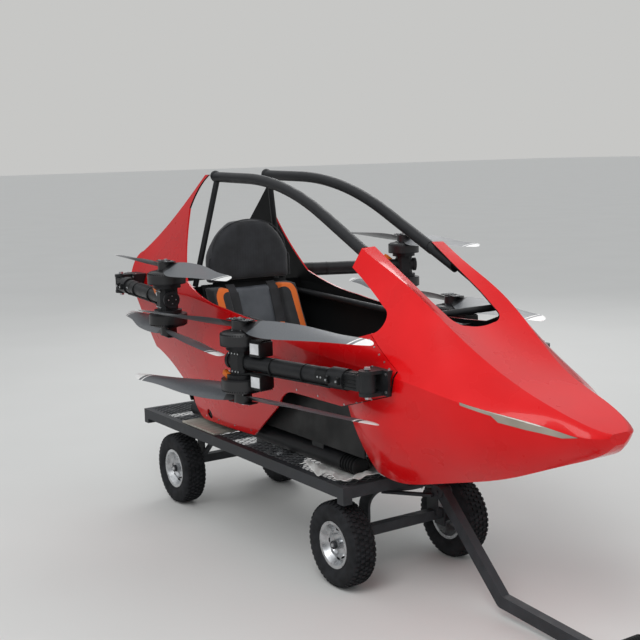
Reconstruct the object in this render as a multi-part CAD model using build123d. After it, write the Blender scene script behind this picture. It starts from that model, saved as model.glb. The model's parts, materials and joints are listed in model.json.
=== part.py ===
from build123d import *
import math
import os

# Electric vertical takeoff aircraft with folded rotor arms, parked on its four wheeled trolley.
# Millimetres. X points to the nose, Y to the left side and Z up. While the pieces are built, X is
# counted from the rear axle, and at the end all of them move so that the origin is on the floor,
# under the middle of the whole outline.

# Trolley sizes
WHEEL_DIAMETER = 330.0
TYRE_WIDTH = 108.0
RIM_DIAMETER = 176.0
WHEELBASE = 1340.0
TRACK = 545.0
AXLE_SQUARE = 38.0
AXLE_PIN_RADIUS = 10.0
DECK_REAR_X = -270.0
DECK_FRONT_X = WHEELBASE + 100.0
DECK_HALF_WIDTH = 330.0
DECK_TOP_Z = 410.0
RAIL_HEIGHT = 45.0
RAIL_WIDTH = 30.0
CORNER_POST_DROP = 22.0
MESH_PITCH = 76.0
MESH_BAR = 5.0
MESH_THICKNESS = 4.0
LEG_THICKNESS = 10.0
LEG_WIDTH = 60.0
LEG_CORNER_RADIUS = 60.0
LEG_HALF_SPACING = 165.0
TURNTABLE_RADIUS = 110.0
TURNTABLE_PLATE = 8.0
TONGUE_REACH = 265.0
DRAWBAR_HEIGHT = 44.0
DRAWBAR_WIDTH = 36.0
DRAWBAR_DROP_RUN = 324.0
DRAWBAR_FLAT_RUN = 560.0
DRAWBAR_BEND_LIFT = 40.0
DRAWBAR_PIN_RADIUS = 8.0
TOW_EYE_RADIUS = 21.0
TOW_EYE_WALL = 13.0
HANDLE_LENGTH = 260.0
HANDLE_RADIUS = 14.0

HUB_HALF = 33.0
WHEEL_HUB_RADIUS = 20.0
PIN_HEAD = 9.0
AXLE_END_CLEAR = 34.0
END_PLATE_HALF = 30.0
END_PLATE_THICKNESS = 8.0
END_PLATE_DROP = 26.0
BRACE_WIDTH = 24.0
BRACE_THICKNESS = 12.0
BRACE_POST_HALF = 10.0
CORNER_POST = 40.0
TURNTABLE_RIB_Y = 70.0
TONGUE_BAR_Y = 92.0
CHEEK_HALF_HEIGHT = 24.0
HANDLE_INSET = 70.0
AXLE_BEAM_Z = 190.0
REAR_BRACE_RUN = 190.0
KINGPIN_RADIUS = 10.0
CROSS_MEMBER_HEIGHT = 25.0
TONGUE_Z = 376.0
DRAWBAR_SIDE_GAP = 1.0
CHEEK_THICKNESS = 6.0
TOW_EYE_HEIGHT = 24.0
PADDING = 8.0
FIT_GAP = 0.4

# Airframe sizes
SKIN = 7.0
SKID_RADIUS = 36.0
SKID_HALF_SPACING = 205.0
SKID_REAR_X = 60.0
SKID_FRONT_X = 1290.0
SADDLE_ROWS = (160.0, 640.0, 1120.0)
SADDLE_HALF_LENGTH = 40.0
SADDLE_HALF_WIDTH = 22.0
BUFFER_LENGTH = 90.0
BUFFER_RIBS = 5
BUFFER_GROOVE = 7.0
TUB_REAR_X = 118.0
TUB_FRONT_X = 1446.0
TUB_HALF_WIDTH = 235.0
TUB_FLOOR_Z = 505.0
TUB_TOP_Z = 715.0
TUB_WALL = 6.0
FORMER_TOP_Z = 945.0
BULKHEAD_X = 126.0
PLATE_CLEARANCE = 0.6
FORMER_THICKNESS = 10.0
FORMER_OPENING = 262.0
FORMER_HOOP = 42.0
BULKHEAD_TOP_Z = 1030.0
BULKHEAD_THICKNESS = 12.0
ROLL_TUBE_RADIUS = 22.5
ROLL_TUBE_REAR = (190.0, 133.0, 1525.0)
ROLL_TUBE_CORNER = (800.0, 143.0, 1510.0)
ROLL_TUBE_FRONT = (1590.0, 157.0, 1145.0)
ROLL_TUBE_BEND = 1500.0
ROLL_TUBE_END_X = 1366.0
SPIGOT_RADIUS = 20.4
SPIGOT_END_X = 1500.0
STRUT_RADIUS = 13.0
DASH_BAR_RADIUS = 12.0
DASH_BAR_X = 1700.0
DASH_BAR_Z = 1050.0
DASH_BAR_HALF = 211.0
SILL_RAIL_RADIUS = 14.0
SILL_RAIL_Y = 300.0
SILL_RAIL_Z = 975.0
STRUT_FOOT_Y = 228.0
TAIL_LEG_Y = 240.0
TAIL_LEG_WIDTH = 22.0
TAIL_KNEE_RADIUS = 18.0
TAIL_KNEE_BACK = 125.0
TAIL_KNEE_DROP = 300.0
TAIL_BEAM_HALF = 300.3
TAIL_BEAM_RADIUS = 20.0

# Seat sizes
SEAT_WIDTH = 444.0
SEAT_PAN_Z = 640.0
SEAT_FRONT_X = 800.0
SEAT_BACK_X = 300.0
SEAT_BACK_TOP_X = 178.0
SEAT_BACK_TOP_Z = 1040.0
HEAD_PLATE_HALF = 160.0
HEAD_PLATE_TOP_Z = 1230.0
SEAT_SHELL = 12.0
HEADREST_TOP_Z = 1340.0
HEADREST_BACK_X = 184.3
HEADREST_THICKNESS = 62.0
CUSHION_HALF_WIDTH = 132.0
BOLSTER_INNER_Y = 133.0
BOLSTER_OUTER_Y = 221.0
SEAT_POST_Y = 150.0
STRAP_Y = 92.0
STRAP_WIDTH = 46.0
STRAP_THICKNESS = 3.0

# Arm and rotor sizes
ARM_TUBE_RADIUS = 30.0
FRONT_ARM_LENGTH = 660.0
REAR_ARM_LENGTH = 710.0
FRONT_PIVOT = (1705.0, 400.0, 850.0)
REAR_PIVOT = (-280.0, 410.0, 1030.0)
KNUCKLE_RADIUS = 28.0
KNUCKLE_HEIGHT = 62.0
KNUCKLE_LENGTH = 120.0
LUG_THICKNESS = 12.0
LUG_RADIUS = 30.0
PIVOT_PIN_RADIUS = 8.0
PIVOT_CLEARANCE = 0.4
LUG_GAP = 0.5
BRACKET_OFFSET = 42.0
BRACKET_HALF_LENGTH = 58.0
BRACKET_LEAN = 0.42
FRONT_BRACKET_SEAT = (347.8, 866.0)
REAR_BRACKET_SEAT = (322.1, 1034.0)
SOCKET_START = 90.0
SOCKET_END = 160.0
SOCKET_RADIUS = 38.0
ARM_TUBE_OVERHANG = 55.0
END_CAP_LENGTH = 14.0
CLAMP_SIZE = 78.0
CLAMP_HALF_HEIGHT = 46.0
STATOR_RADIUS = 58.0
STATOR_HEIGHT = 16.0
BELL_RADIUS = 80.0
BELL_HEIGHT = 56.0
BELL_GAP = 0.5
HUB_RADIUS = 34.0
HUB_HEIGHT = 14.0
ROTOR_RADIUS = 705.0
ROTOR_PLANE = 141.0
BLADE_THICKNESS = 0.11

# The bonded cockpit skin, from tail to nose: one row for each cross-section, left half given.
# station, belly y, belly z, lower bulge, chine y, chine z, upper bulge, shoulder y, shoulder z, crown
BODY_SECTIONS = [
    (-440, 225, 440, 30, 318, 1040, -6, 170, 1570, 0),
    (132, 259, 431, 28, 337, 1018, -6, 168, 1575, 0),
    (800, 250, 428, 32, 345, 950, 0, 172, 1545, 0),
    (1400, 200, 430, 42, 350, 888, 6, 180, 1272, 0),
    (1700, 182, 458, 42, 338, 872, 8, 176, 1124, -10),
    (1800, 165, 481, 39, 323, 857, 8, 166, 1061, -12),
]
NOSE_SECTIONS = [
    (1340, 205, 430, 41, 350, 894, 5, 179, 1303, 0),
    (1550, 192, 443, 42, 345, 880, 7, 178, 1196, -20),
    (1700, 182, 458, 42, 338, 872, 8, 176, 1124, -42),
    (1950, 138, 517, 34, 298, 835, 8, 150, 967, -20),
    (2150, 98, 580, 24, 222, 795, 6, 118, 862, -2),
    (2300, 66, 640, 14, 145, 763, 5, 104, 812, -1),
    (2400, 44, 682, 8, 104, 750, 4, 72, 776, 0),
    (2444, 18, 722, 3, 45, 746, 2, 30, 758, 0),
]
BULKHEAD_ROW = BODY_SECTIONS[1]
FORMER_ROW = BODY_SECTIONS[3]
NOSE_TIP_WALL = 10.0


def inset(row, wall):
    """The same cross-section, moved inward by one wall."""
    x, belly_y, belly_z, low, chine_y, chine_z, up, shoulder_y, shoulder_z, crown = row
    return (x, belly_y - wall, belly_z + wall, low, chine_y - wall, chine_z, up,
            shoulder_y - wall * 0.9, shoulder_z - wall, crown)


def body_face(row):
    """Closed cross-section of the skin across the given station."""
    x, belly_y, belly_z, low, chine_y, chine_z, up, shoulder_y, shoulder_z, crown = row

    def bowed(a, b, bulge):
        length = math.hypot(b[0] - a[0], b[1] - a[1])
        side = (b[1] - a[1]) / length, -(b[0] - a[0]) / length
        middle = ((a[0] + b[0]) / 2 + side[0] * bulge, (a[1] + b[1]) / 2 + side[1] * bulge)
        return ThreePointArc(a, middle, b) if abs(bulge) > 0.01 else Line(a, b)

    belly, chine, shoulder = (belly_y, belly_z), (chine_y, chine_z), (shoulder_y, shoulder_z)
    left = [bowed(belly, chine, low), bowed(chine, shoulder, up)]
    lower, middle, upper = [(-p[0], p[1]) for p in (belly, chine, shoulder)]
    right = [bowed(upper, middle, up), bowed(middle, lower, low)]
    top = bowed(shoulder, upper, crown)
    bottom = Line(lower, belly)
    return Plane.YZ.offset(x) * make_face(Curve() + left + [top] + right + [bottom])


def body_loft(rows):
    return loft([body_face(row) for row in rows])


def side_prism(edges, half_width=600.0):
    """A side-view outline (x, z), taken right across the aircraft."""
    return extrude(Plane.XZ * make_face(Curve() + edges), half_width, both=True)


def box_between(x0, x1, y0, y1, z0, z1):
    return Pos((x0 + x1) / 2, (y0 + y1) / 2, (z0 + z1) / 2) * Box(x1 - x0, y1 - y0, z1 - z0)


def rod(start, end, radius):
    """A round bar between two points."""
    a, b = Vector(*start), Vector(*end)
    return extrude(Plane(origin=a, z_dir=(b - a).normalized()) * Circle(radius), (b - a).length)


def flat_bar(start, end, width, thickness, across=(0, 1, 0)):
    """A rectangular bar between two points; its width lies along the given direction."""
    a, b = Vector(*start), Vector(*end)
    plane = Plane(origin=a, x_dir=across, z_dir=(b - a).normalized())
    return extrude(plane * Rectangle(width, thickness), (b - a).length)


def mirrored(shape):
    return mirror(shape, about=Plane.XZ)


# Skin panels

def hollow_skin(rows, tip_wall=0.0):
    """The skin along some of the sections, one wall thick and open at its rear end."""
    inner = body_loft([inset(row, SKIN) for row in rows])
    if tip_wall:
        inner &= box_between(rows[0][0] - 1, rows[-1][0] - tip_wall, -500, 500, 0, 2000)
    return body_loft(rows) - inner


SEAM_TOP = (1580, 992)
SEAM_HINGE = (1762, 886)
OPENING_FRONT_X = 1452
OPENING_TOP_Z = 716

NOSE_OUTLINE = [
    Line((1372, 1203), (1402, 1300)),
    Line((1402, 1300), (2520, 1300)),
    Line((2520, 1300), (2520, 400)),
    Line((2520, 400), (OPENING_FRONT_X, 400)),
    ThreePointArc((OPENING_FRONT_X, 400), (OPENING_FRONT_X + 14, 560), (OPENING_FRONT_X, OPENING_TOP_Z)),
    Line((OPENING_FRONT_X, OPENING_TOP_Z), (1740, 800)),
    Line((1740, 800), SEAM_HINGE),
    Line(SEAM_HINGE, SEAM_TOP),
    ThreePointArc(SEAM_TOP, (1622, 1046), (1592, 1078)),
    Line((1592, 1078), (1372, 1203)),
]

SEAM_GAP = 2.0

FLANK_OUTLINE = [
    Line((-150, 730), (-318, 950)),
    ThreePointArc((-318, 950), (-392, 1045), (-396, 1100)),
    ThreePointArc((-396, 1100), (-380, 1140), (-330, 1172)),
    ThreePointArc((-330, 1172), (-60, 1352), (186, 1536)),
    Line((186, 1536), (226, 1536)),
    ThreePointArc((226, 1536), (120, 1452), (84, 1385)),
    ThreePointArc((84, 1385), (150, 1200), (235, 1072)),
    ThreePointArc((235, 1072), (420, 1015), (600, 990)),
    ThreePointArc((600, 990), (1060, 955), (1500, 966)),
    Line((1500, 966), (1580 - SEAM_GAP, 990)),
    Line((1580 - SEAM_GAP, 990), (1760 - SEAM_GAP, 886)),
    Line((1760 - SEAM_GAP, 886), (1738 - SEAM_GAP, 802)),
    Line((1738 - SEAM_GAP, 802), (OPENING_FRONT_X - SEAM_GAP, OPENING_TOP_Z + SEAM_GAP)),
    Line((OPENING_FRONT_X - SEAM_GAP, OPENING_TOP_Z + SEAM_GAP), (1130, OPENING_TOP_Z - 2)),
    ThreePointArc((1130, OPENING_TOP_Z - 2), (1040, 690), (985, 640)),
    Line((985, 640), (700, 456)),
    Line((700, 456), (256, 448)),
    ThreePointArc((256, 448), (220, 480), (212, 560)),
    ThreePointArc((212, 560), (60, 660), (-150, 730)),
]
SKIRT_HOLE = (345.0, 487.0, 22.0)

LAMP_OUTLINE = [(2030, 822), (2385, 748), (2330, 739), (2225, 752), (2146, 768), (2128, 788), (2030, 812)]
LAMP_GAP = 0.5

# The edge of the cockpit opening in plan, from under the roll tube to its front corner.
COCKPIT_EDGE = [(1150, 150), (1400, 132), (1680, 122), (1770, 112)]
COCKPIT_CORNER = (1808, 96)
COCKPIT_FRONT = (1818, 60)
COCKPIT_FRONT_X = 1822
COCKPIT_CUT_Z = 900


def cockpit_cut():
    """The opening between the pillars, in plan."""
    left = [(x, y) for x, y in COCKPIT_EDGE]
    right = [(x, -y) for x, y in COCKPIT_EDGE]
    corner, front = COCKPIT_CORNER, COCKPIT_FRONT
    edges = [
        Polyline(left), ThreePointArc(left[-1], corner, front),
        ThreePointArc(front, (COCKPIT_FRONT_X, 0), (front[0], -front[1])),
        ThreePointArc((front[0], -front[1]), (corner[0], -corner[1]), right[-1]),
        Polyline(right[::-1]), Line(right[0], left[0]),
    ]
    return extrude(Plane.XY.offset(COCKPIT_CUT_Z) * make_face(Curve() + edges), 500)


def wheel(side):
    """Pressed rim and tyre about the Y axis, the dished outer face towards +Y when side is +1."""
    radius, half_width = WHEEL_DIAMETER / 2, TYRE_WIDTH / 2
    bead = RIM_DIAMETER / 2 - 6
    tyre_half = [
        (bead + FIT_GAP, 0), (bead + FIT_GAP, 36), (bead + 9, 37.5), (bead + 18, 47), (bead + 36, half_width),
        (radius - 29, half_width), (radius - 15, half_width - 6), (radius - 6, half_width - 16),
        (radius - 1.5, half_width - 34), (radius, 0),
    ]
    half = revolve(make_face(Polyline(tyre_half, close=True)), Axis.Y, 360)
    tyre = half + mirrored(half)
    bore = AXLE_PIN_RADIUS + PIVOT_CLEARANCE
    rim_profile = [
        (bore, -HUB_HALF), (WHEEL_HUB_RADIUS, -HUB_HALF), (WHEEL_HUB_RADIUS, 4), (36, 4), (44, 14), (56, 4),
        (60, -24), (bead - 4, -41), (bead + 8, -42), (bead + 8, -38), (bead, -36), (66, -16), (66, 16), (bead, 36),
        (bead + 8, 38), (bead + 8, 42), (bead - 4, 41), (60, 18), (44, 22), (36, 12), (WHEEL_HUB_RADIUS, 12),
        (WHEEL_HUB_RADIUS, HUB_HALF), (bore, HUB_HALF),
    ]
    rim = revolve(make_face(Polyline(rim_profile, close=True)), Axis.Y, 360)
    return (rim if side > 0 else mirrored(rim)), tyre


# Trolley

def axle(with_turntable):
    """Axle beam with its end plates, pins and the bent leg frame that carries it, at x = 0."""
    centre_z = WHEEL_DIAMETER / 2
    beam_half = TRACK / 2 - HUB_HALF - AXLE_END_CLEAR
    beam = box_between(-AXLE_SQUARE / 2, AXLE_SQUARE / 2, -beam_half, beam_half,
                       AXLE_BEAM_Z - AXLE_SQUARE / 2, AXLE_BEAM_Z + AXLE_SQUARE / 2)
    top = DECK_TOP_Z - RAIL_HEIGHT - (2 * TURNTABLE_PLATE + FIT_GAP if with_turntable else 0)
    leg_y = LEG_HALF_SPACING
    path = FilletPolyline((-leg_y, AXLE_BEAM_Z), (-leg_y, top - LEG_THICKNESS / 2),
                          (leg_y, top - LEG_THICKNESS / 2), (leg_y, AXLE_BEAM_Z),
                          radius=LEG_CORNER_RADIUS)
    frame = extrude(Plane.YZ * trace(path, LEG_THICKNESS), LEG_WIDTH / 2, both=True)
    whole = beam + frame
    for side in (-1, 1):
        inner, outer = side * (beam_half - END_PLATE_THICKNESS), side * beam_half
        whole += box_between(-END_PLATE_HALF, END_PLATE_HALF, min(inner, outer), max(inner, outer),
                             centre_z - END_PLATE_DROP, AXLE_BEAM_Z + AXLE_SQUARE / 2)
        pin_end = side * (TRACK / 2 + HUB_HALF + FIT_GAP)
        whole += rod((0, outer, centre_z), (0, pin_end, centre_z), AXLE_PIN_RADIUS)
        whole += rod((0, pin_end, centre_z), (0, pin_end + side * PIN_HEAD, centre_z), AXLE_PIN_RADIUS + 6)
        shoulder = side * (TRACK / 2 - HUB_HALF - FIT_GAP)
        whole += rod((0, outer, centre_z), (0, shoulder, centre_z), AXLE_PIN_RADIUS + 8)
    return whole, top


def front_bogie():
    """The steered axle with its turntable plate, kingpin and the tongue that holds the drawbar."""
    whole, top = axle(True)
    whole += Pos(0, 0, top + TURNTABLE_PLATE / 2) * Cylinder(TURNTABLE_RADIUS, TURNTABLE_PLATE)
    kingpin_top = DECK_TOP_Z - RAIL_HEIGHT + 6
    whole += rod((0, 0, top), (0, 0, kingpin_top), KINGPIN_RADIUS)
    cheek_y = DRAWBAR_WIDTH / 2 + DRAWBAR_SIDE_GAP
    for side in (-1, 1):
        whole += flat_bar((20, side * TONGUE_BAR_Y, top - 14), (TONGUE_REACH - 18, side * (cheek_y + 14), TONGUE_Z - 12),
                          10, 22, across=(0, 0, 1))
        y0, y1 = sorted((side * cheek_y, side * (cheek_y + CHEEK_THICKNESS)))
        cheek = box_between(TONGUE_REACH - 34, TONGUE_REACH, y0, y1, TONGUE_Z - CHEEK_HALF_HEIGHT,
                            TONGUE_Z + CHEEK_HALF_HEIGHT)
        cheek += rod((TONGUE_REACH, y0, TONGUE_Z), (TONGUE_REACH, y1, TONGUE_Z), CHEEK_HALF_HEIGHT)
        whole += cheek
    whole += rod((TONGUE_REACH, -cheek_y - 14, TONGUE_Z), (TONGUE_REACH, cheek_y + 14, TONGUE_Z),
                 DRAWBAR_PIN_RADIUS)
    whole += box_between(TONGUE_REACH - 60, TONGUE_REACH - 48, -cheek_y - 19, cheek_y + 19,
                         TONGUE_Z - 26, TONGUE_Z + 2)
    return Pos(WHEELBASE, 0, 0) * whole


def drawbar():
    """The bent bar that lies on the floor, with its cross handle and towing eye."""
    x0, z0 = WHEELBASE + TONGUE_REACH, TONGUE_Z
    bend = (x0 + DRAWBAR_DROP_RUN, 0, DRAWBAR_HEIGHT / 2 + DRAWBAR_BEND_LIFT)
    end = (bend[0] + DRAWBAR_FLAT_RUN, 0, DRAWBAR_HEIGHT / 2)
    half = DRAWBAR_WIDTH / 2
    whole = rod((x0, -half, z0), (x0, half, z0), DRAWBAR_HEIGHT / 2)
    whole += flat_bar((x0, 0, z0), bend, DRAWBAR_WIDTH, DRAWBAR_HEIGHT)
    whole += rod((bend[0], -half, bend[2]), (bend[0], half, bend[2]), DRAWBAR_HEIGHT / 2)
    whole += flat_bar(bend, end, DRAWBAR_WIDTH, DRAWBAR_HEIGHT)
    handle_z = DRAWBAR_HEIGHT + HANDLE_RADIUS + 2
    handle_x = end[0] - HANDLE_INSET
    whole += rod((handle_x, -HANDLE_LENGTH / 2, handle_z), (handle_x, HANDLE_LENGTH / 2, handle_z), HANDLE_RADIUS)
    whole += box_between(handle_x - HANDLE_RADIUS, handle_x + HANDLE_RADIUS, -half, half, DRAWBAR_HEIGHT - 12,
                         handle_z)
    eye_x = end[0] + TOW_EYE_RADIUS + TOW_EYE_WALL - 6
    whole += Pos(eye_x, 0, DRAWBAR_HEIGHT / 2) * Cylinder(TOW_EYE_RADIUS + TOW_EYE_WALL, TOW_EYE_HEIGHT)
    whole -= Pos(eye_x, 0, DRAWBAR_HEIGHT / 2) * Cylinder(TOW_EYE_RADIUS, TOW_EYE_HEIGHT * 2)
    whole -= rod((x0, -half - 1, z0), (x0, half + 1, z0), DRAWBAR_PIN_RADIUS + PIVOT_CLEARANCE)
    return whole


def deck_frame():
    rail_bottom = DECK_TOP_Z - RAIL_HEIGHT
    outer = box_between(DECK_REAR_X, DECK_FRONT_X, -DECK_HALF_WIDTH, DECK_HALF_WIDTH, rail_bottom, DECK_TOP_Z)
    inner_half = DECK_HALF_WIDTH - RAIL_WIDTH
    whole = outer - box_between(DECK_REAR_X + RAIL_WIDTH, DECK_FRONT_X - RAIL_WIDTH, -inner_half, inner_half,
                                rail_bottom - 1, DECK_TOP_Z + 1)
    mesh_bottom = DECK_TOP_Z - MESH_THICKNESS
    for x in (0.0, WHEELBASE / 3, 2 * WHEELBASE / 3, WHEELBASE):
        whole += box_between(x - RAIL_WIDTH / 2, x + RAIL_WIDTH / 2, -inner_half, inner_half,
                             mesh_bottom - CROSS_MEMBER_HEIGHT, mesh_bottom)
    post = CORNER_POST / 2
    for x in (DECK_REAR_X + post, DECK_FRONT_X - post):
        for y in (-DECK_HALF_WIDTH + post, DECK_HALF_WIDTH - post):
            whole += box_between(x - post, x + post, y - post, y + post, rail_bottom - CORNER_POST_DROP,
                                 rail_bottom)
    plate_z = rail_bottom - TURNTABLE_PLATE / 2
    whole += Pos(WHEELBASE, 0, plate_z) * Cylinder(TURNTABLE_RADIUS, TURNTABLE_PLATE)
    for y in (-TURNTABLE_RIB_Y, TURNTABLE_RIB_Y):
        whole += box_between(WHEELBASE - 40, WHEELBASE + 40, y - 10, y + 10, rail_bottom, mesh_bottom)
    whole -= Pos(WHEELBASE, 0, rail_bottom) * Cylinder(KINGPIN_RADIUS + PIVOT_CLEARANCE, 90)
    return whole


def deck_mesh():
    """Welded wire deck, as a sheet pierced by its square windows."""
    x0, x1 = DECK_REAR_X + RAIL_WIDTH + FIT_GAP, DECK_FRONT_X - RAIL_WIDTH - FIT_GAP
    half = DECK_HALF_WIDTH - RAIL_WIDTH - FIT_GAP
    columns = int((x1 - x0 - MESH_BAR) // MESH_PITCH)
    rows = int((2 * half - MESH_BAR) // MESH_PITCH)
    window = MESH_PITCH - MESH_BAR
    sheet = Rectangle(x1 - x0, 2 * half)
    sheet -= GridLocations(MESH_PITCH, MESH_PITCH, columns, rows) * Rectangle(window, window)
    return Pos((x0 + x1) / 2, 0, DECK_TOP_Z - MESH_THICKNESS) * extrude(sheet, MESH_THICKNESS)


def rear_axle():
    whole, top = axle(False)
    for side in (-1, 1):
        y = side * LEG_HALF_SPACING
        whole += flat_bar((0, y, AXLE_BEAM_Z), (REAR_BRACE_RUN, y, top - 6), BRACE_WIDTH, BRACE_THICKNESS)
        whole += box_between(REAR_BRACE_RUN - 22, REAR_BRACE_RUN + 22, y - 20, y + 20, top - 8, top)
        whole += box_between(REAR_BRACE_RUN - BRACE_POST_HALF, REAR_BRACE_RUN + BRACE_POST_HALF,
                             y - BRACE_POST_HALF, y + BRACE_POST_HALF, top, DECK_TOP_Z - MESH_THICKNESS)
    whole += box_between(-LEG_WIDTH / 2, LEG_WIDTH / 2, -LEG_WIDTH, LEG_WIDTH, top,
                         DECK_TOP_Z - MESH_THICKNESS - CROSS_MEMBER_HEIGHT)
    return whole


# Airframe

SKID_AXIS_Z = DECK_TOP_Z + PADDING + FIT_GAP + SKID_RADIUS


def skids():
    """Landing tubes with ribbed rubber ends in front and saddles up to the tub."""
    left = rod((SKID_REAR_X, SKID_HALF_SPACING, SKID_AXIS_Z), (SKID_FRONT_X, SKID_HALF_SPACING, SKID_AXIS_Z),
               SKID_RADIUS)
    for x in SADDLE_ROWS:
        left += box_between(x - SADDLE_HALF_LENGTH, x + SADDLE_HALF_LENGTH, SKID_HALF_SPACING - SADDLE_HALF_WIDTH,
                            SKID_HALF_SPACING + SADDLE_HALF_WIDTH, SKID_AXIS_Z, TUB_FLOOR_Z - FIT_GAP)
    return left + mirrored(left)


def buffers():
    """The ribbed rubber buffers on the front ends of the skids."""
    pitch = BUFFER_LENGTH / BUFFER_RIBS
    points = [(0, 0)]
    for rib in range(BUFFER_RIBS):
        start, groove = rib * pitch, SKID_RADIUS - BUFFER_GROOVE
        points += [(groove, start), (groove, start + 4), (SKID_RADIUS, start + 7),
                   (SKID_RADIUS, start + pitch - 3), (groove, start + pitch)]
    points += [(0, BUFFER_LENGTH)]
    clean = [p for i, p in enumerate(points) if i == 0 or p != points[i - 1]]
    profile = Plane(origin=(SKID_FRONT_X + FIT_GAP, SKID_HALF_SPACING, SKID_AXIS_Z), x_dir=(0, 0, 1),
                    z_dir=(0, 1, 0))
    left = revolve(profile * make_face(Polyline(clean, close=True)),
                   Axis((SKID_FRONT_X, SKID_HALF_SPACING, SKID_AXIS_Z), (1, 0, 0)), 360)
    return left + mirrored(left)


def tub():
    """Open-topped floor tub of the cockpit."""
    whole = box_between(TUB_REAR_X, TUB_FRONT_X, -TUB_HALF_WIDTH, TUB_HALF_WIDTH, TUB_FLOOR_Z, TUB_TOP_Z)
    return whole - box_between(TUB_REAR_X + TUB_WALL, TUB_FRONT_X + 1, -TUB_HALF_WIDTH + TUB_WALL,
                               TUB_HALF_WIDTH - TUB_WALL, TUB_FLOOR_Z + TUB_WALL, TUB_TOP_Z + 1)


def cross_plate(row, thickness):
    """A flat plate across the body that stays clear of the skin."""
    face = body_face(inset(row, SKIN + PLATE_CLEARANCE))
    return extrude(face, thickness / 2, both=True)


def bulkhead():
    """The wall behind the seat, which stands on the floor of the tub."""
    plate = cross_plate(BULKHEAD_ROW, BULKHEAD_THICKNESS)
    plate &= box_between(0, 300, -400, 400, TUB_FLOOR_Z + TUB_WALL, BULKHEAD_TOP_Z)
    notch = box_between(0, 300, TUB_HALF_WIDTH - TUB_WALL - FIT_GAP, TUB_HALF_WIDTH + FIT_GAP, 0,
                        TUB_TOP_Z + FIT_GAP)
    return plate - notch - mirrored(notch)


def front_former():
    """The hoop over the legs that carries the front ends of the sill rails."""
    plate = cross_plate(FORMER_ROW, FORMER_THICKNESS)
    plate &= box_between(1000, 1600, -400, 400, TUB_TOP_Z + FIT_GAP, FORMER_TOP_Z)
    return plate - box_between(1000, 1600, -FORMER_OPENING, FORMER_OPENING, 0,
                               FORMER_TOP_Z - FORMER_HOOP)


def roll_tube():
    """One bent tube from the fin top over the head and into the pillar, with its strut."""
    path = FilletPolyline(ROLL_TUBE_REAR, ROLL_TUBE_CORNER, ROLL_TUBE_FRONT, radius=ROLL_TUBE_BEND)
    start = Plane(origin=path @ 0, z_dir=path % 0)
    tube = sweep(start * Circle(ROLL_TUBE_RADIUS), path) - box_between(ROLL_TUBE_END_X, 2000, 0, 400, 900, 1600)
    spigot = sweep(start * Circle(SPIGOT_RADIUS), path) - box_between(SPIGOT_END_X, 2000, 0, 400, 900, 1600)
    tube += spigot
    x, y, z = ROLL_TUBE_REAR
    tube += rod((x + 22, y + 1, z), (BULKHEAD_X + BULKHEAD_THICKNESS / 2, STRUT_FOOT_Y,
                                     BULKHEAD_TOP_Z + 3.5), STRUT_RADIUS)
    tube += Pos(x + 2, y, z + 4) * Sphere(ROLL_TUBE_RADIUS + 2)
    return tube


def dash_bar():
    return rod((DASH_BAR_X, -DASH_BAR_HALF, DASH_BAR_Z), (DASH_BAR_X, DASH_BAR_HALF, DASH_BAR_Z),
               DASH_BAR_RADIUS)


def sill_rails():
    start = (BULKHEAD_X + BULKHEAD_THICKNESS + 1, SILL_RAIL_Y, SILL_RAIL_Z)
    end = (FORMER_ROW[0] - FORMER_THICKNESS / 2 - 1, SILL_RAIL_Y, FORMER_TOP_Z - 18)
    left = rod(start, end, SILL_RAIL_RADIUS)
    return left + mirrored(left)


def tail_frame():
    """Cross beam between the rear arm hinges and the legs down to the skids."""
    x, y, z = REAR_PIVOT
    whole = rod((x, -TAIL_BEAM_HALF, z), (x, TAIL_BEAM_HALF, z), TAIL_BEAM_RADIUS)
    knee = (x + TAIL_KNEE_BACK, TAIL_LEG_Y, z - TAIL_KNEE_DROP)
    foot = (SKID_REAR_X + 30, SKID_HALF_SPACING, SKID_AXIS_Z + SKID_RADIUS + 10)
    leg = flat_bar((x, TAIL_LEG_Y, z), knee, TAIL_LEG_WIDTH, 34)
    leg += Pos(*knee) * Sphere(TAIL_KNEE_RADIUS)
    leg += flat_bar(knee, foot, TAIL_LEG_WIDTH, 38)
    pad = box_between(foot[0] - 40, foot[0] + 20, foot[1] - 16, foot[1] + 16, SKID_AXIS_Z, foot[2] + 12)
    saddle = rod((SKID_REAR_X - 20, SKID_HALF_SPACING, SKID_AXIS_Z), (foot[0] + 60, SKID_HALF_SPACING, SKID_AXIS_Z),
                 SKID_RADIUS + FIT_GAP)
    leg = (leg + pad) - saddle
    return whole + leg + mirrored(leg)


# Seat

def seat_shell():
    path = FilletPolyline((SEAT_FRONT_X, SEAT_PAN_Z + 22), (SEAT_BACK_X + 40, SEAT_PAN_Z - 22),
                          (SEAT_BACK_TOP_X, SEAT_BACK_TOP_Z), radius=60)
    shell = extrude(Plane.XZ * trace(path, SEAT_SHELL), SEAT_WIDTH / 2, both=True)
    shell += box_between(SEAT_BACK_TOP_X - SEAT_SHELL / 2, SEAT_BACK_TOP_X + SEAT_SHELL / 2, -HEAD_PLATE_HALF,
                         HEAD_PLATE_HALF, SEAT_BACK_TOP_Z - 20, HEAD_PLATE_TOP_Z)
    for y in (-SEAT_POST_Y, SEAT_POST_Y):
        shell += box_between(430, 720, y - 8, y + 8, TUB_FLOOR_Z + TUB_WALL + FIT_GAP, SEAT_PAN_Z - 12)
    return shell


def seat_profile(points, y0, y1):
    face = Plane.XZ.offset(-y0) * make_face(Polyline(points, close=True))
    return extrude(face, y0 - y1)


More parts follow.
